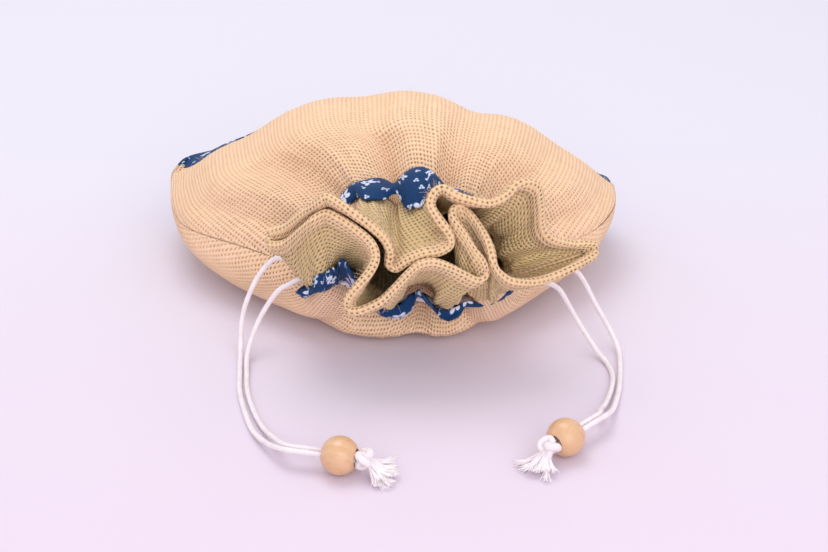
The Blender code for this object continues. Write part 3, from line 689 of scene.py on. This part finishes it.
def weave_of(middle, body_rows):
    """Threads' coordinates in metres. Across, half follows each row's own length and half that
    of one fixed row, so that the threads draw together at the gathers without closing up."""
    across = run_along(middle, 1)
    across = across - across[:, -1:] / 2
    fixed = np.repeat(across[body_rows // 4][None], len(middle), 0)
    fixed[body_rows:] = across[-1]
    down = run_along(middle)
    weave = np.stack([0.5 * across + 0.5 * fixed, down], -1)
    weave[body_rows:, :, 1] -= down[-1] - down[-1].mean()
    return weave, down[-1] - down


THREAD_PITCH = 1.85 * MM
# The colour for the threads' sides is painted shade, and so is the ruffle's darker, yellower tint
JUTE_PLAIN, THREAD_SIDE_SHADE, RUFFLE_SHADE = (0.72, 0.5, 0.29), (0.50, 0.29, 0.135), (0.72, 0.78, 0.62)
# The deepest colour is the painted shade seen through the holes in the weave
JUTE_PALE, JUTE_MID, JUTE_HOLE_SHADE = (0.955, 0.64, 0.44), (0.82, 0.53, 0.285), (0.085, 0.038, 0.013)
# The inside takes a darker, yellower copy of the outside's colours, as painted shade
INSIDE_SHADED_PALE, INSIDE_SHADED_MID, INSIDE_HOLE_SHADE = (0.84, 0.62, 0.33), (0.62, 0.43, 0.19), (0.12, 0.08, 0.03)
# For the threads across and along: cells to the metre of their sway and of their own fibres
SWAY_CELLS = ((70, 16, 1), (16, 70, 1))
FIBRE_CELLS = ((5200, 420, 1), (420, 5200, 1))
# Distances from the edge, in metres, over which the holes' painted shade and the ruffle's painted
# shade come and go
STITCH_HOLES, HOLES_FADE, RUFFLE_START, RUFFLE_END = 1.1 * MM, 0.04, 0.012, 0.007

jute, shader, tree = new_material("jute", JUTE_PLAIN, 0.9)
coords = layer_at(tree, "weave")
inside, from_hem = split_of(tree, layer_at(tree, "place"))[:2]
threads, rounds, offs, widths, streaks = [], [], [], [], []
for k in (0, 1):
    sway = noise_at(tree, stretched(tree, coords, SWAY_CELLS[k]), 1.0, 2.0)
    threads.append(times_plus(tree, split_of(tree, coords)[k], 1 / THREAD_PITCH,
                              times_plus(tree, sway, 1.5, -0.75)))
    rounds.append(math_node(tree, "ROUND", threads[k]))
    offs.append(math_node(tree, "SUBTRACT", threads[k], rounds[k]))
for k in (0, 1):
    along = joined_of(tree, times(tree, rounds[k], 7.31),
                      times(tree, threads[1 - k], 0.16), 3.0 * k)
    widths.append(times_plus(tree, noise_at(tree, along, 1.0, 2.0), 0.42, 0.19))
    streaks.append(noise_at(tree, stretched(tree, coords, FIBRE_CELLS[k]), 1.0, 3.0))

# A plain weave: where two threads cross, the cosine of the other's count lifts one over it
signs = [math_node(tree, "COSINE", times(tree, r, np.pi)) for r in rounds]
tops, overs = [], []
for k in (0, 1):
    away = math_node(tree, "DIVIDE", offs[k], widths[k])
    tops.append(math_node(tree, "SUBTRACT", 1.0, times(tree, away, away)))
    wave = math_node(tree, "COSINE", times(tree, threads[1 - k], np.pi))
    overs.append(times_plus(tree, times(tree, signs[k], wave), 0.5 - k, tops[k]))
warp_over = math_node(tree, "GREATER_THAN", overs[0], overs[1])
raised = math_node(tree, "MAXIMUM", overs[0], overs[1])
covered = math_node(tree, "SMOOTH_MAX", tops[0], tops[1], 0.2)


def random_at(tree, *parts):
    """A random number for each vector of these parts."""
    node = tree.nodes.new("ShaderNodeTexWhiteNoise")
    node.noise_dimensions = "2D"
    tree.links.new(joined_of(tree, *parts), node.inputs["Vector"])
    return node.outputs["Value"]


# Holes between the threads are painted dark: painted shade of the inside seen through them. They
# are wider in a row beside the hem's stitching, and no two are alike: each cell between threads has
# its own depth
by_stitch = math_node(tree, "ABSOLUTE", math_node(tree, "SUBTRACT", from_hem, HEM_WIDTH))
by_stitch = times_plus(tree, by_stitch, -1 / STITCH_HOLES, 1.0, clamp=True)
patch = times_plus(tree, noise_at(tree, coords, 55, 2.0), 0.7, -0.42)
hole_shade = math_node(tree, "SUBTRACT", covered, times_plus(tree, by_stitch, 0.35, patch))
hole_shade = times_plus(tree, hole_shade, -2.2, 1.0, clamp=True)
luck = random_at(tree, *(math_node(tree, "FLOOR", count) for count in threads))
hole_shade = times(tree, hole_shade, times_plus(tree, luck, 0.75, 0.35), clamp=True)
near_neck = times_plus(tree, from_hem, -1 / HOLES_FADE, 2.5, clamp=True)
hole_shade = times(tree, hole_shade, times_plus(tree, near_neck, 0.76, 0.12))
# Each thread has its own tone, and the fibres streak it. Painted shade: where the weave lies lower
# it is painted darker, and the raised threads lighter
streak = mix_colours(tree, warp_over, streaks[1], streaks[0])
own = random_at(tree, mix_colours(tree, warp_over, rounds[1], rounds[0]), warp_over)
broad = times_plus(tree, noise_at(tree, coords, 22, 3.0), 0.5, -0.3)
tone_and_shade = times_plus(tree, own, 0.22, times_plus(tree, streak, 0.6, broad))
tone_and_shade = times_plus(tree, raised, 0.4, math_node(tree, "SUBTRACT", tone_and_shade, 0.12), clamp=True)
outside_colour = mix_colours(tree, tone_and_shade, JUTE_MID, JUTE_PALE)
# Painted shade: each thread is painted darker towards its two sides, the more so where the weave is
# open
side_shade = times_plus(tree, covered, -1.25, 1.05, clamp=True)
side_shade = times(tree, side_shade, times_plus(tree, near_neck, 0.51, 0.12))
outside_colour = mix_colours(tree, side_shade, outside_colour, THREAD_SIDE_SHADE)
# Painted shade: near the hem the ruffle is painted darker and yellower, for the shade in its folds
ruffle_shade_share = times(tree, times_plus(tree, from_hem, -1 / RUFFLE_END, 5.4, clamp=True),
                  times_plus(tree, from_hem, 1 / RUFFLE_START, 0.4, clamp=True))
ruffle_shaded = mix_colours(tree, 1.0, outside_colour, RUFFLE_SHADE, "MULTIPLY")
outside_colour = mix_colours(tree, ruffle_shade_share, outside_colour, ruffle_shaded)
# Painted shade in the holes
outside_colour = mix_colours(tree, hole_shade, outside_colour, JUTE_HOLE_SHADE)
# Inside: the same jute, painted darker as painted shade
inside_colour = mix_colours(tree, tone_and_shade, INSIDE_SHADED_MID, INSIDE_SHADED_PALE)
inside_colour = mix_colours(tree, hole_shade, inside_colour, INSIDE_HOLE_SHADE)
both_sides = mix_colours(tree, inside, outside_colour, inside_colour)
tree.links.new(both_sides, shader.inputs["Base Color"])
add_bump(tree, shader, times_plus(tree, streak, 0.25, raised), 0.75, 0.6 * MM)
shader.inputs["Specular IOR Level"].default_value = 0.25
shader.inputs["Sheen Weight"].default_value = 0.12

# Rows behind the neck from which the cloth counts as ruffle, which the channels stay clear of
RUFFLE_ROWS = 14

skins, ruffle_of = {}, {}
for side, name in ((1, "front_jute"), (-1, "back_jute")):
    middle, body_rows = panel_grid(side)
    outward = normals_of(middle) * side
    weave, to_edge = weave_of(middle, body_rows)
    fold = np.clip((HEM_WIDTH - to_edge) / (1.2 * MM), 0, 1)
    fold = fold * fold * (3 - 2 * fold)
    groove = bell(to_edge, HEM_WIDTH, 0.7 * MM)
    half = (JUTE + (HEM - JUTE) * fold) / 2 - 0.12 * MM * groove
    panel = closed_cloth(name, middle, outward, half, weave, to_edge)
    panel.data.materials.append(jute)
    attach(panel, "pouch")
    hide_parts("front_panel" if side > 0 else "back_panel")
    skins[side] = middle + outward * half[..., None], outward, to_edge
    rows = slice(body_rows - RUFFLE_ROWS, None, 2)
    ruffle_of[side] = middle[rows, ::2].reshape(-1, 3), outward[rows, ::2].reshape(-1, 3)

# The seam allowance of each side seam is turned inside, where it lies as a soft roll
SEAM_ROLL = 1.15 * MM
for column, inward, side in ((0, 1, "left"), (-1, -1, "right")):
    edges = [by_length(skins[k][0][:, column], np.linspace(0, 1, 160)) for k in (1, -1)]
    seam = (edges[0] + edges[1]) / 2 + np.array([inward * 1.8 * SEAM_ROLL, 0, -0.2 * MM])
    roll, _ = rope(side + "_seam_roll", seam, SEAM_ROLL, CORD_TWIST, plies=1, sides=10, depth=0)
    roll.data.materials.append(jute)
    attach(roll, "pouch")


# Base band: one piece of navy printed cotton that wraps the stuffed base from the front, round
# the fold and on to the back. It is turned in and sewn over the jute along both edges.
BAND, BAND_LIFT = 0.9 * MM, 0.6 * MM
NAVY, NAVY_PALE, PRINT = (0.002, 0.020, 0.078), (0.006, 0.056, 0.175), (0.70, 0.76, 0.92)
SPRIG_PITCH = 13 * MM
COTTON_CELLS = ((5200, 500, 1), (500, 5200, 1))
# The band's rows on each face and where they start, near the fold. Its puckers at the seam and
# its dents: count, phase and strength, then their height in millimetres.
BAND_ROWS, BAND_START = 56, 0.22
PUCKER_WAVES, PUCKER_HEIGHT = ((37, 0.2, 0.5), (53, 0.6, 0.3)), 0.45
DENT_WAVES, DENT_HEIGHT = ((2.3, 0.1, 0.5), (4.1, 0.5, 0.4)), 0.7

printed_cotton, shader, tree = new_material("printed_cotton", NAVY, 0.6)
coords = layer_at(tree, "weave")


def blossoms(tree, vector, pitch, size, petals, seed):
    """Small blossoms, one in each cell: a point belongs to one where its distance from the
    cell's point is under a radius that swells and shrinks with the angle, once for each petal."""
    moved = tree.nodes.new("ShaderNodeVectorMath")
    moved.inputs[1].default_value = (seed * 0.37, seed * 0.61, 0)
    tree.links.new(vector, moved.inputs[0])
    cells = tree.nodes.new("ShaderNodeTexVoronoi")
    cells.voronoi_dimensions = "2D"
    cells.inputs["Scale"].default_value = 1 / pitch
    cells.inputs["Randomness"].default_value = 0.8
    tree.links.new(moved.outputs[0], cells.inputs["Vector"])
    scaled = tree.nodes.new("ShaderNodeVectorMath")
    scaled.operation = "SUBTRACT"
    tree.links.new(moved.outputs[0], scaled.inputs[0])
    tree.links.new(cells.outputs["Position"], scaled.inputs[1])
    across, up = split_of(tree, scaled.outputs[0])[:2]
    angle = math_node(tree, "ARCTAN2", up, across)
    turned = times_plus(tree, split_of(tree, cells.outputs["Color"])[0], 6.3, angle)
    swell = math_node(tree, "COSINE", times(tree, turned, petals / 2))
    swell = times_plus(tree, math_node(tree, "ABSOLUTE", swell), 0.62, 0.38)
    reach = times(tree, cells.outputs["Distance"], pitch / size)
    petal = times_plus(tree, math_node(tree, "SUBTRACT", swell, reach), 7.0, 0.0, clamp=True)
    heart = times_plus(tree, reach, 12.0, -1.8, clamp=True)
    return times(tree, petal, heart)


large = blossoms(tree, coords, SPRIG_PITCH, 3.7 * MM, 5, 1.0)
small = blossoms(tree, coords, 0.52 * SPRIG_PITCH, 1.25 * MM, 3, 4.0)
print_mask = math_node(tree, "MAXIMUM", large, times(tree, small, 0.8))
worn = times_plus(tree, noise_at(tree, coords, 900, 2.0), 0.6, 0.55, clamp=True)
print_mask = times(tree, print_mask, worn)
threads = [noise_at(tree, stretched(tree, coords, cells), 1.0, 2.0) for cells in COTTON_CELLS]
cloth = times(tree, *threads)
ground = mix_colours(tree, times_plus(tree, cloth, 2.4, -0.2, clamp=True), NAVY, NAVY_PALE)
tree.links.new(mix_colours(tree, print_mask, ground, PRINT), shader.inputs["Base Color"])
add_bump(tree, shader, cloth, 0.35, 0.12 * MM)
shader.inputs["Sheen Weight"].default_value = 0.06
shader.inputs["Sheen Roughness"].default_value = 0.4
shader.inputs["Sheen Tint"].default_value = (0.3, 0.6, 1.0, 1)
shader.inputs["Specular IOR Level"].default_value = 0.14

shares = np.linspace(0, 1, 240)
upper = even_stations(BAND_STATION, BAND_START, BAND_ROWS, 1)
lower = even_stations(BAND_STATION, BAND_START, BAND_ROWS, -1)[::-1]
fold = (body_surface(shares, [0.0], 1) + body_surface(shares, [0.0], -1)) / 2
fold[..., 1] += 1.5 * BAND_LIFT
middle = np.concatenate([slid_surface(shares, upper, 1), fold, slid_surface(shares, lower, -1)])
middle[0] -= unit(middle[0] - middle[1]) * SEAM_GAP / 2
middle[-1] -= unit(middle[-1] - middle[-2]) * SEAM_GAP / 2
outward = -normals_of(middle)
stations = np.concatenate([upper, [0.0], lower])
lift = BAND_LIFT * np.interp(stations, (0.2, 2, BAND_STATION), (1, 1, 0))
middle[..., 2] += (np.sign(BAND_ROWS - np.arange(len(stations))) * lift)[:, None]
middle[: len(upper), :, 2] -= settled(shares, upper)
to_seam = (BAND_STATION - stations)[:, None]
puckers = waves(shares, *PUCKER_WAVES) * np.exp(-to_seam / 0.35)
puckers = puckers * np.clip(to_seam / 0.15, 0, 1)
dents = waves(shares + stations[:, None] * 0.04, *DENT_WAVES)
dents = dents * np.sin(stations * 2.1)[:, None] * np.clip(to_seam / 0.6, 0, 1)
middle += outward * ((puckers * PUCKER_HEIGHT + dents * DENT_HEIGHT) * MM)[..., None]
middle[..., 2] = np.maximum(middle[..., 2], JUTE / 2)
across = run_along(middle, 1)
weave = np.stack([across - across[:, -1:] / 2, run_along(middle)], -1)
band = closed_cloth("band_cotton", middle, outward, BAND / 2, weave, weave[..., 1], False)
band.data.materials.append(printed_cotton)
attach(band, "pouch")
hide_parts("base_band")

# Its two ends are sewn into the side seams, which show there as a thin folded edge
for column, inward, side in ((0, 1, "left"), (-1, -1, "right")):
    edge = (middle[: len(upper), column] + middle[: -len(lower) - 1 : -1, column]) / 2
    edge = by_length(edge + np.array([inward * 0.5 * MM, 0, 0]), np.linspace(0, 1, 60))
    welt, _ = rope(side + "_band_welt", edge, 0.85 * MM, CORD_TWIST, plies=1, sides=10, depth=0)
    welt.data.materials.append(printed_cotton)
    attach(welt, "pouch")


# Channels: a strip of the same cotton over each panel's neck, sewn down along both edges with
# the cords inside. Drawn in, the cotton stands up between the gathers in smooth round puffs.
CHANNEL_TUCK, CHANNEL_PUFF, CHANNEL_INSET = 1.6 * MM, 6.2 * MM, 0.07
CHANNEL_START, CHANNEL_ROWS, CHANNEL_COLUMNS = 8.2, 34, 230
CHANNEL_WAVES = (17, 0.1, 0.5), (27, 0.4, 0.3)
# Each channel's piece of the print is cut elsewhere, this far from the middle
PRINT_SHIFT = 0.03
# The tallest puffs hang over their front seam in lobes: place across, half width, and how far
# forward and up each is carried, in millimetres, at even steps from the back seam to the front
LOBES = {
    1: [
        (0.402, 0.050, [(0, 0), (-1, 0), (0, 0), (3, 0), (7, 0), (11, 0), (14, -1.6), (9, -1),
                        (0, 0)]),
        (0.522, 0.050, [(0, 0), (-1, 1), (0.5, 2.6), (4, 3.4), (9, 2.6), (14, 0.2), (19, -4.6),
                        (12, -2), (0, 0)]),
    ],
    -1: [
        (0.190, 0.055, [(0, 0), (2, 4), (5, 9), (8, 14), (10, 18), (11, 19), (10, 17), (6, 8),
                        (0, 0)]),
        (0.320, 0.085, [(0, 0), (3, 3), (6, 8), (9, 12), (12, 16), (14, 19), (13, 18), (7, 8),
                        (0, 0)]),
        (0.555, 0.038, [(0, 0), (1, 2), (4, 5), (7, 8), (10, 11), (12, 13), (11, 12), (6, 6),
                        (0, 0)]),
        (0.640, 0.030, [(0, 0), (1, 0), (3, 0), (4, 1), (5, 1), (5, 1), (4, 1), (2, 0), (0, 0)]),
    ],
}
# Towards the right the cotton lies flatter: place across and share of the height
FLATTER = {1: ((0.56, 0.64), (1, 0.25)), -1: ((0.60, 0.68), (1, 0.35))}


def clear_of(points, cloth, outward):
    """Points moved out along the normal of the nearest place on a cloth, where they lie less
    than both half thicknesses and a little room outside its middle surface."""
    room = (JUTE + COTTON) / 2 + SEAM_GAP
    flat = points.reshape(-1, 3)
    nearest = np.concatenate([
        ((some[:, None] - cloth) ** 2).sum(-1).argmin(1) for some in np.array_split(flat, 40)
    ])
    height = ((flat - cloth[nearest]) * outward[nearest]).sum(-1)
    push = np.clip(room - height, 0, None)[:, None]
    return (flat + outward[nearest] * push).reshape(points.shape)


for side, name in ((1, "front_casing"), (-1, "back_casing")):
    shares = np.linspace(CHANNEL_INSET, 1 - CHANNEL_INSET, CHANNEL_COLUMNS)
    stations = np.linspace(CHANNEL_START, NECK_FRONT, CHANNEL_ROWS)
    smooth = body_surface(shares, stations, side)
    outward = normals_of(smooth) * side
    depth = pleat_depth(shares, stations, side)
    share = np.clip(depth / PLEAT_DEPTH, 0, 1)
    rise = np.sin(np.pi * (stations - CHANNEL_START) / 1.8)
    lift = np.clip(rise, 0, 1)[:, None] ** 0.6
    low_line = (JUTE + COTTON) / 2 + SEAM_GAP - 0.4 * depth
    high_line = CHANNEL_TUCK + (CHANNEL_PUFF - CHANNEL_TUCK) * (1 - share) ** 0.7 * np.interp(
        shares, *FLATTER[side])
    folds = waves(shares + 0.01 * np.sin(stations * 3)[:, None], *CHANNEL_WAVES)
    folds = (0.5 + 0.5 * folds) * lift * (0.9 - 0.45 * bell(stations, 9.1, 0.75, 4)[:, None]) * MM
    middle = smooth + outward * (low_line + (high_line - low_line) * lift + folds)[..., None]
    for at, width, steps in LOBES[side]:
        carried = smooth_at(np.array(steps, float) * MM, np.linspace(0, 8, len(stations)))
        over = bell(shares, at, width, 4)[None, :, None]
        middle = middle + over * (carried[:, None, :1] * (0, -1, 0)
                                  + carried[:, None, 1:] * (0, 0, 1))
    middle = clear_of(middle, *ruffle_of[side])
    across = np.broadcast_to(run_along(middle, 1).mean(0), middle.shape[:2])
    down = run_along(middle)
    weave = np.stack([across + PRINT_SHIFT * side, down - down[-1:] / 2], -1)
    facing = normals_of(middle) * side
    casing = closed_cloth(name, middle, facing, COTTON / 2, weave, weave[..., 1], False)
    casing.data.materials.append(printed_cotton)
    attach(casing, "pouch")
    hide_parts("front_channel" if side > 0 else "back_channel")


# Beads: turned balls of pale hardwood with a straight bore, sanded and lightly waxed.
BEAD_BORE, BORE_EASING, EASED_DEPTH = 6.2 * MM, 0.25 * MM, 0.4 * MM
WOOD, WOOD_DARK, WOOD_PORE = (0.68, 0.42, 0.245), (0.61, 0.335, 0.17), (0.36, 0.17, 0.06)


def bead(name, at, turn):
    """A ball turned about its axis: an outer arc of the sphere between the two bore faces, then
    back through the bore with slightly rounded edges."""
    half, bore = BEAD_LENGTH / 2, BEAD_BORE / 2
    swing = np.arccos(BEAD_LENGTH / BEAD)
    arc = np.linspace(swing, np.pi - swing, 60)
    outer = np.stack([np.cos(arc), np.sin(arc)], -1) * BEAD / 2
    ease = np.linspace(0, np.pi / 2, 6)
    lip = np.stack([-half + EASED_DEPTH * (1 - np.cos(ease)),
                    bore + BORE_EASING * (1 - np.sin(ease))], -1)
    through = np.stack([np.linspace(-half + 1.5 * EASED_DEPTH, half - 1.5 * EASED_DEPTH, 10),
                        np.full(10, bore)], -1)
    profile = np.concatenate([outer, lip, through, (lip * (-1, 1))[::-1]])
    angle = np.linspace(0, 2 * np.pi, 96, endpoint=False)
    x = np.repeat(profile[:, :1], len(angle), 1)
    ring = np.stack([x, profile[:, 1:] * np.cos(angle), profile[:, 1:] * np.sin(angle)], -1)
    axis = bead_axis(turn)
    points = ring @ np.array([axis, beside_of(axis), (0, 0, 1)]) + np.array([*at, BEAD / 2])
    number = np.arange(ring[..., 0].size).reshape(ring.shape[:2])
    after = np.roll(number, -1, 0)
    faces = np.stack([number, after, np.roll(after, -1, 1), np.roll(number, -1, 1)], -1)
    grain = np.stack([ring[..., 0], ring[..., 1] * 0.9 + ring[..., 2] * 0.4], -1).reshape(-1, 2)
    return put_mesh(name, points.reshape(-1, 3), faces.reshape(-1, 4), {"weave": grain})


bead_wood, shader, tree = new_material("bead_wood", WOOD, 0.38)
coords = layer_at(tree, "weave")
rings = noise_at(tree, stretched(tree, coords, (35, 520, 1)), 1.0, 3.0, 0.6)
pores = noise_at(tree, stretched(tree, coords, (260, 3600, 1)), 1.0, 2.0)
grain = times_plus(tree, rings, 2.4, -0.85, clamp=True)
pore = times_plus(tree, pores, -5.0, 2.1, clamp=True)
colour = mix_colours(tree, grain, WOOD, WOOD_DARK)
colour = mix_colours(tree, times(tree, pore, 0.5), colour, WOOD_PORE)
tree.links.new(colour, shader.inputs["Base Color"])
tree.links.new(times_plus(tree, pore, 0.2, 0.34), shader.inputs["Roughness"])
add_bump(tree, shader, pore, 0.3, 0.08 * MM, invert=True)
shader.inputs["Coat Weight"].default_value = 0.35
shader.inputs["Coat Roughness"].default_value = 0.22

balls = {}
for side, (at, turn) in BEADS.items():
    balls[side] = ball = bead(side + "_ball", at, turn)
    ball.data.materials.append(bead_wood)
    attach(ball, side + "_bead")
    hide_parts(side + "_bead")


# Knots: both ends of a cord tied in one overhand knot, which fills the bead's mouth. Past it
# the plies have come apart into a flat fan of fine cotton fibres that lies on the floor.
KNOT_RADIUS, STRAND, KNOT_AHEAD = 3.7 * MM, 1.4 * MM, 2.6 * MM
FAN_FIBRES, FAN_STRANDS, FAN_LENGTH, FAN_SPREAD = 240, 12, 12 * MM, 0.9
FAN_AHEAD, FAN_RADIUS = 3.6 * MM, 0.17 * MM
FRAYED, FRAYED_PALE, FRAYED_SHADE = (0.98, 0.94, 0.95), (0.93, 0.87, 0.89), (0.78, 0.70, 0.73)


def fibres(name, lines, radius, facets=3):
    """Many fine fibres in one mesh: each a closed tube of a few facets along its own line, thin
    at both ends. The lines are an array of fibres by points."""
    count, steps = lines.shape[:2]
    way = unit(np.gradient(lines, axis=1))
    one = unit(np.cross(way, np.array([0.31, 0.22, 0.92])))
    two = np.cross(way, one)
    thin = np.sin(np.pi * np.linspace(0.06, 0.97, steps)) ** 0.4
    size = (np.broadcast_to(radius, (count,))[:, None] * thin)[..., None]
    turns = np.arange(facets) * 2 * np.pi / facets
    rings = [lines + (one * np.cos(a) + two * np.sin(a)) * size for a in turns]
    points = np.stack(rings, 2).reshape(-1, 3)
    number = np.arange(len(points)).reshape(count, steps, facets)
    a, b = number[:, :-1], number[:, 1:]
    sides = np.stack([a, b, np.roll(b, -1, 2), np.roll(a, -1, 2)], -1).reshape(-1, 4)
    mesh = bpy.data.meshes.new(name)
    ends = np.concatenate([number[:, 0], number[:, -1, ::-1]])
    mesh.from_pydata(points.tolist(), [], [*sides[:, ::-1].tolist(), *ends[:, ::-1].tolist()])
    layer = mesh.uv_layers.new(name="weave")
    along = np.repeat(np.cumsum(np.full(steps, 1 * MM))[None], count, 0) + np.arange(count)[:, None]
    round_it = np.tile(np.arange(facets) * 0.1 * MM, count * steps)
    flat = np.stack([np.repeat(along.ravel(), facets), round_it], -1)
    order = np.concatenate([sides[:, ::-1].ravel(), ends[:, ::-1].ravel()])
    layer.uv.foreach_set("vector", flat[order].ravel())
    mesh.shade_smooth()
    return add_object(name, mesh)


def knot_line(start, axis):
    """An overhand knot's line, a trefoil: a circle turned once by a second one twice as fast,
    flattened along the cord's way."""
    t = np.linspace(0.12, 2 * np.pi - 0.12, 150)
    beside, up = beside_of(axis), np.array([0, 0, 1])
    size = (KNOT_RADIUS - STRAND / 2) / 3
    x = -np.sin(3 * t) * 1.35 * STRAND
    y = (np.sin(t) + 2 * np.sin(2 * t)) * size
    z = (np.cos(t) - 2 * np.cos(2 * t)) * size
    return start + x[:, None] * axis + y[:, None] * beside + z[:, None] * up


# Painted light: the fine fibres glow faintly, which stands for light that goes on through them
FRAYED_PAINTED_LIGHT = 0.03

frayed_cotton, shader, tree = new_material("frayed_cotton", FRAYED, 0.8)
tint = noise_at(tree, layer_at(tree, "weave"), 3.0, 1.0)
tree.links.new(mix_colours(tree, tint, FRAYED_PALE, FRAYED_SHADE), shader.inputs["Base Color"])
shader.inputs["Emission Color"].default_value = (1.0, 0.94, 0.96, 1)
shader.inputs["Emission Strength"].default_value = FRAYED_PAINTED_LIGHT

rng = np.random.default_rng(7)
for side, (at, turn) in BEADS.items():
    axis = bead_axis(turn)
    beside = beside_of(axis)
    face = np.array([*at, BEAD / 2]) + axis * (BEAD_LENGTH / 2 + SEAM_GAP)
    tied = knot_line(face + axis * KNOT_AHEAD, axis)
    loop, _ = rope(side + "_overhand", tied, STRAND, CORD_TWIST, sides=14)
    loop.data.materials.append(cord_cotton)
    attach(loop, "pouch")
    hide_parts(side + "_knot")
    steps = np.linspace(0, 1, 9)
    strand = rng.integers(0, FAN_STRANDS, FAN_FIBRES)
    strand_way = np.linspace(-FAN_SPREAD, FAN_SPREAD, FAN_STRANDS) + rng.normal(0, 0.1, FAN_STRANDS)
    strand_length = FAN_LENGTH * rng.uniform(0.65, 1.0, FAN_STRANDS)
    strand_rise = rng.uniform(0.2, 3.0, FAN_STRANDS) * MM
    angle = (strand_way[strand] + rng.normal(0, 0.05, FAN_FIBRES))[:, None]
    reach = (strand_length[strand] * rng.uniform(0.85, 1.05, FAN_FIBRES))[:, None] * steps
    curl = rng.normal(0, 0.12, (FAN_FIBRES, 1)) * steps**2
    across = reach * np.sin(angle + curl) + rng.normal(0, 0.4 * MM, (FAN_FIBRES, 1)) * (1 - steps)
    ahead = FAN_AHEAD + reach * np.cos(angle + curl)
    start = BEAD / 2 + rng.normal(0, 0.8 * MM, (FAN_FIBRES, 1))
    end = strand_rise[strand][:, None] + rng.uniform(0.15, 0.6, (FAN_FIBRES, 1)) * MM
    height = start + (end - start) * np.clip(steps * 1.5, 0, 1) ** 0.8
    lines = face + ahead[..., None] * axis + across[..., None] * beside
    lines[..., 2] = height
    fan = fibres(side + "_fan", lines, FAN_RADIUS, 6)
    fan.data.materials.append(frayed_cotton)
    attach(fan, "pouch")
    # The bead, the knot and the fan belong to both strands. Each strand is looked up beside them,
    # and nothing more is done with them here
    for part, pieces in (("upper", [balls[side], loop, fan]), ("lower", [])):
        strand, route, length = strands[side, part]


# Loose fibres: jute is hairy, so short bent fibres stand out all over it, most of all on the
# folded edge of the mouth.
HEM_FIBRES, BODY_FIBRES, FIBRE_STEPS, FIBRE_RADIUS = 1300, 900, 5, 0.045 * MM
HAIR, HAIR_DARK, HAIR_PALE = (0.93, 0.68, 0.46), (0.80, 0.53, 0.31), (0.97, 0.76, 0.56)

jute_fibre, shader, tree = new_material("jute_fibre", HAIR, 0.7)
tint = noise_at(tree, layer_at(tree, "weave"), 3.0, 1.0)
tint = times_plus(tree, tint, 2.5, -0.75, clamp=True)
tree.links.new(mix_colours(tree, tint, HAIR_DARK, HAIR_PALE), shader.inputs["Base Color"])

for side, name in ((1, "front_hairs"), (-1, "back_hairs")):
    skin, outward, to_edge = skins[side]
    rows, across = skin.shape[:2]
    row = np.concatenate([
        rows - 1 - (rng.uniform(0, 1, HEM_FIBRES) ** 1.5 * 7).astype(int),
        (rng.uniform(0.02, 0.94, BODY_FIBRES) * rows).astype(int),
    ])
    column = rng.integers(1, across - 1, len(row))
    root, normal = skin[row, column], outward[row, column]
    way = unit(normal * 0.8 + rng.normal(0, 0.75, root.shape))
    way = way + normal * np.clip(0.15 - (way * normal).sum(-1, keepdims=True), 0, 2)
    bow = unit(rng.normal(0, 1, root.shape))
    length = rng.gamma(3.0, 0.55 * MM, len(row))[:, None, None]
    t = np.linspace(0, 1, FIBRE_STEPS)[None, :, None]
    lines = root[:, None] - normal[:, None] * 0.15 * MM
    lines = lines + length * (way[:, None] * t + bow[:, None] * 0.35 * t**2)
    lines[..., 2] = np.maximum(lines[..., 2], 0.1 * MM)
    hairs = fibres(name, lines, FIBRE_RADIUS)
    hairs.data.materials.append(jute_fibre)
    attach(hairs, "pouch")


# Floor and light: a pale lavender sweep under a broad soft light from above and behind.
FLOOR_FAR, FLOOR_NEAR, FLOOR_HALF = (0.685, 0.66, 0.735), (0.71, 0.58, 0.695), 3
SKY, SKY_STRENGTH = (0.97, 0.96, 1.0, 1), 0.93
# Each lamp's name, place, size in metres and power in watts
LAMPS = (("key", (-0.25, 0.4, 1.3), 0.9, 6.0), ("fill", (0.3, -1.2, 0.6), 1.4, 8.0))

floor_look, shader, tree = new_material("floor", FLOOR_FAR, 0.85)
coords = tree.nodes.new("ShaderNodeTexCoord")
share = times_plus(tree, split_of(tree, coords.outputs["Object"])[1], -2.2, 0.35, clamp=True)
tree.links.new(mix_colours(tree, share, FLOOR_FAR, FLOOR_NEAR), shader.inputs["Base Color"])
shader.inputs["Specular IOR Level"].default_value = 0.1

mesh = bpy.data.meshes.new("floor")
corners = [(x * FLOOR_HALF, y * FLOOR_HALF, 0) for x, y in ((-1, -1), (1, -1), (1, 1), (-1, 1))]
mesh.from_pydata(corners, [], [(0, 1, 2, 3)])
mesh.materials.append(floor_look)
add_object("floor", mesh)

world = bpy.data.worlds.new("studio")
world.use_nodes = True
world.node_tree.nodes["Background"].inputs["Color"].default_value = SKY
world.node_tree.nodes["Background"].inputs["Strength"].default_value = SKY_STRENGTH
bpy.context.scene.world = world

for name, place, size, power in LAMPS:
    lamp = bpy.data.lights.new(name, "AREA")
    lamp.shape, lamp.size, lamp.energy = "DISK", size, power
    light = add_object(name, lamp)
    light.location = place
    way = np.array(place) / np.linalg.norm(place)
    light.rotation_euler = (np.arccos(way[2]), 0, np.arctan2(way[1], way[0]) + np.pi / 2)

bpy.context.scene.view_settings.view_transform = "Standard"
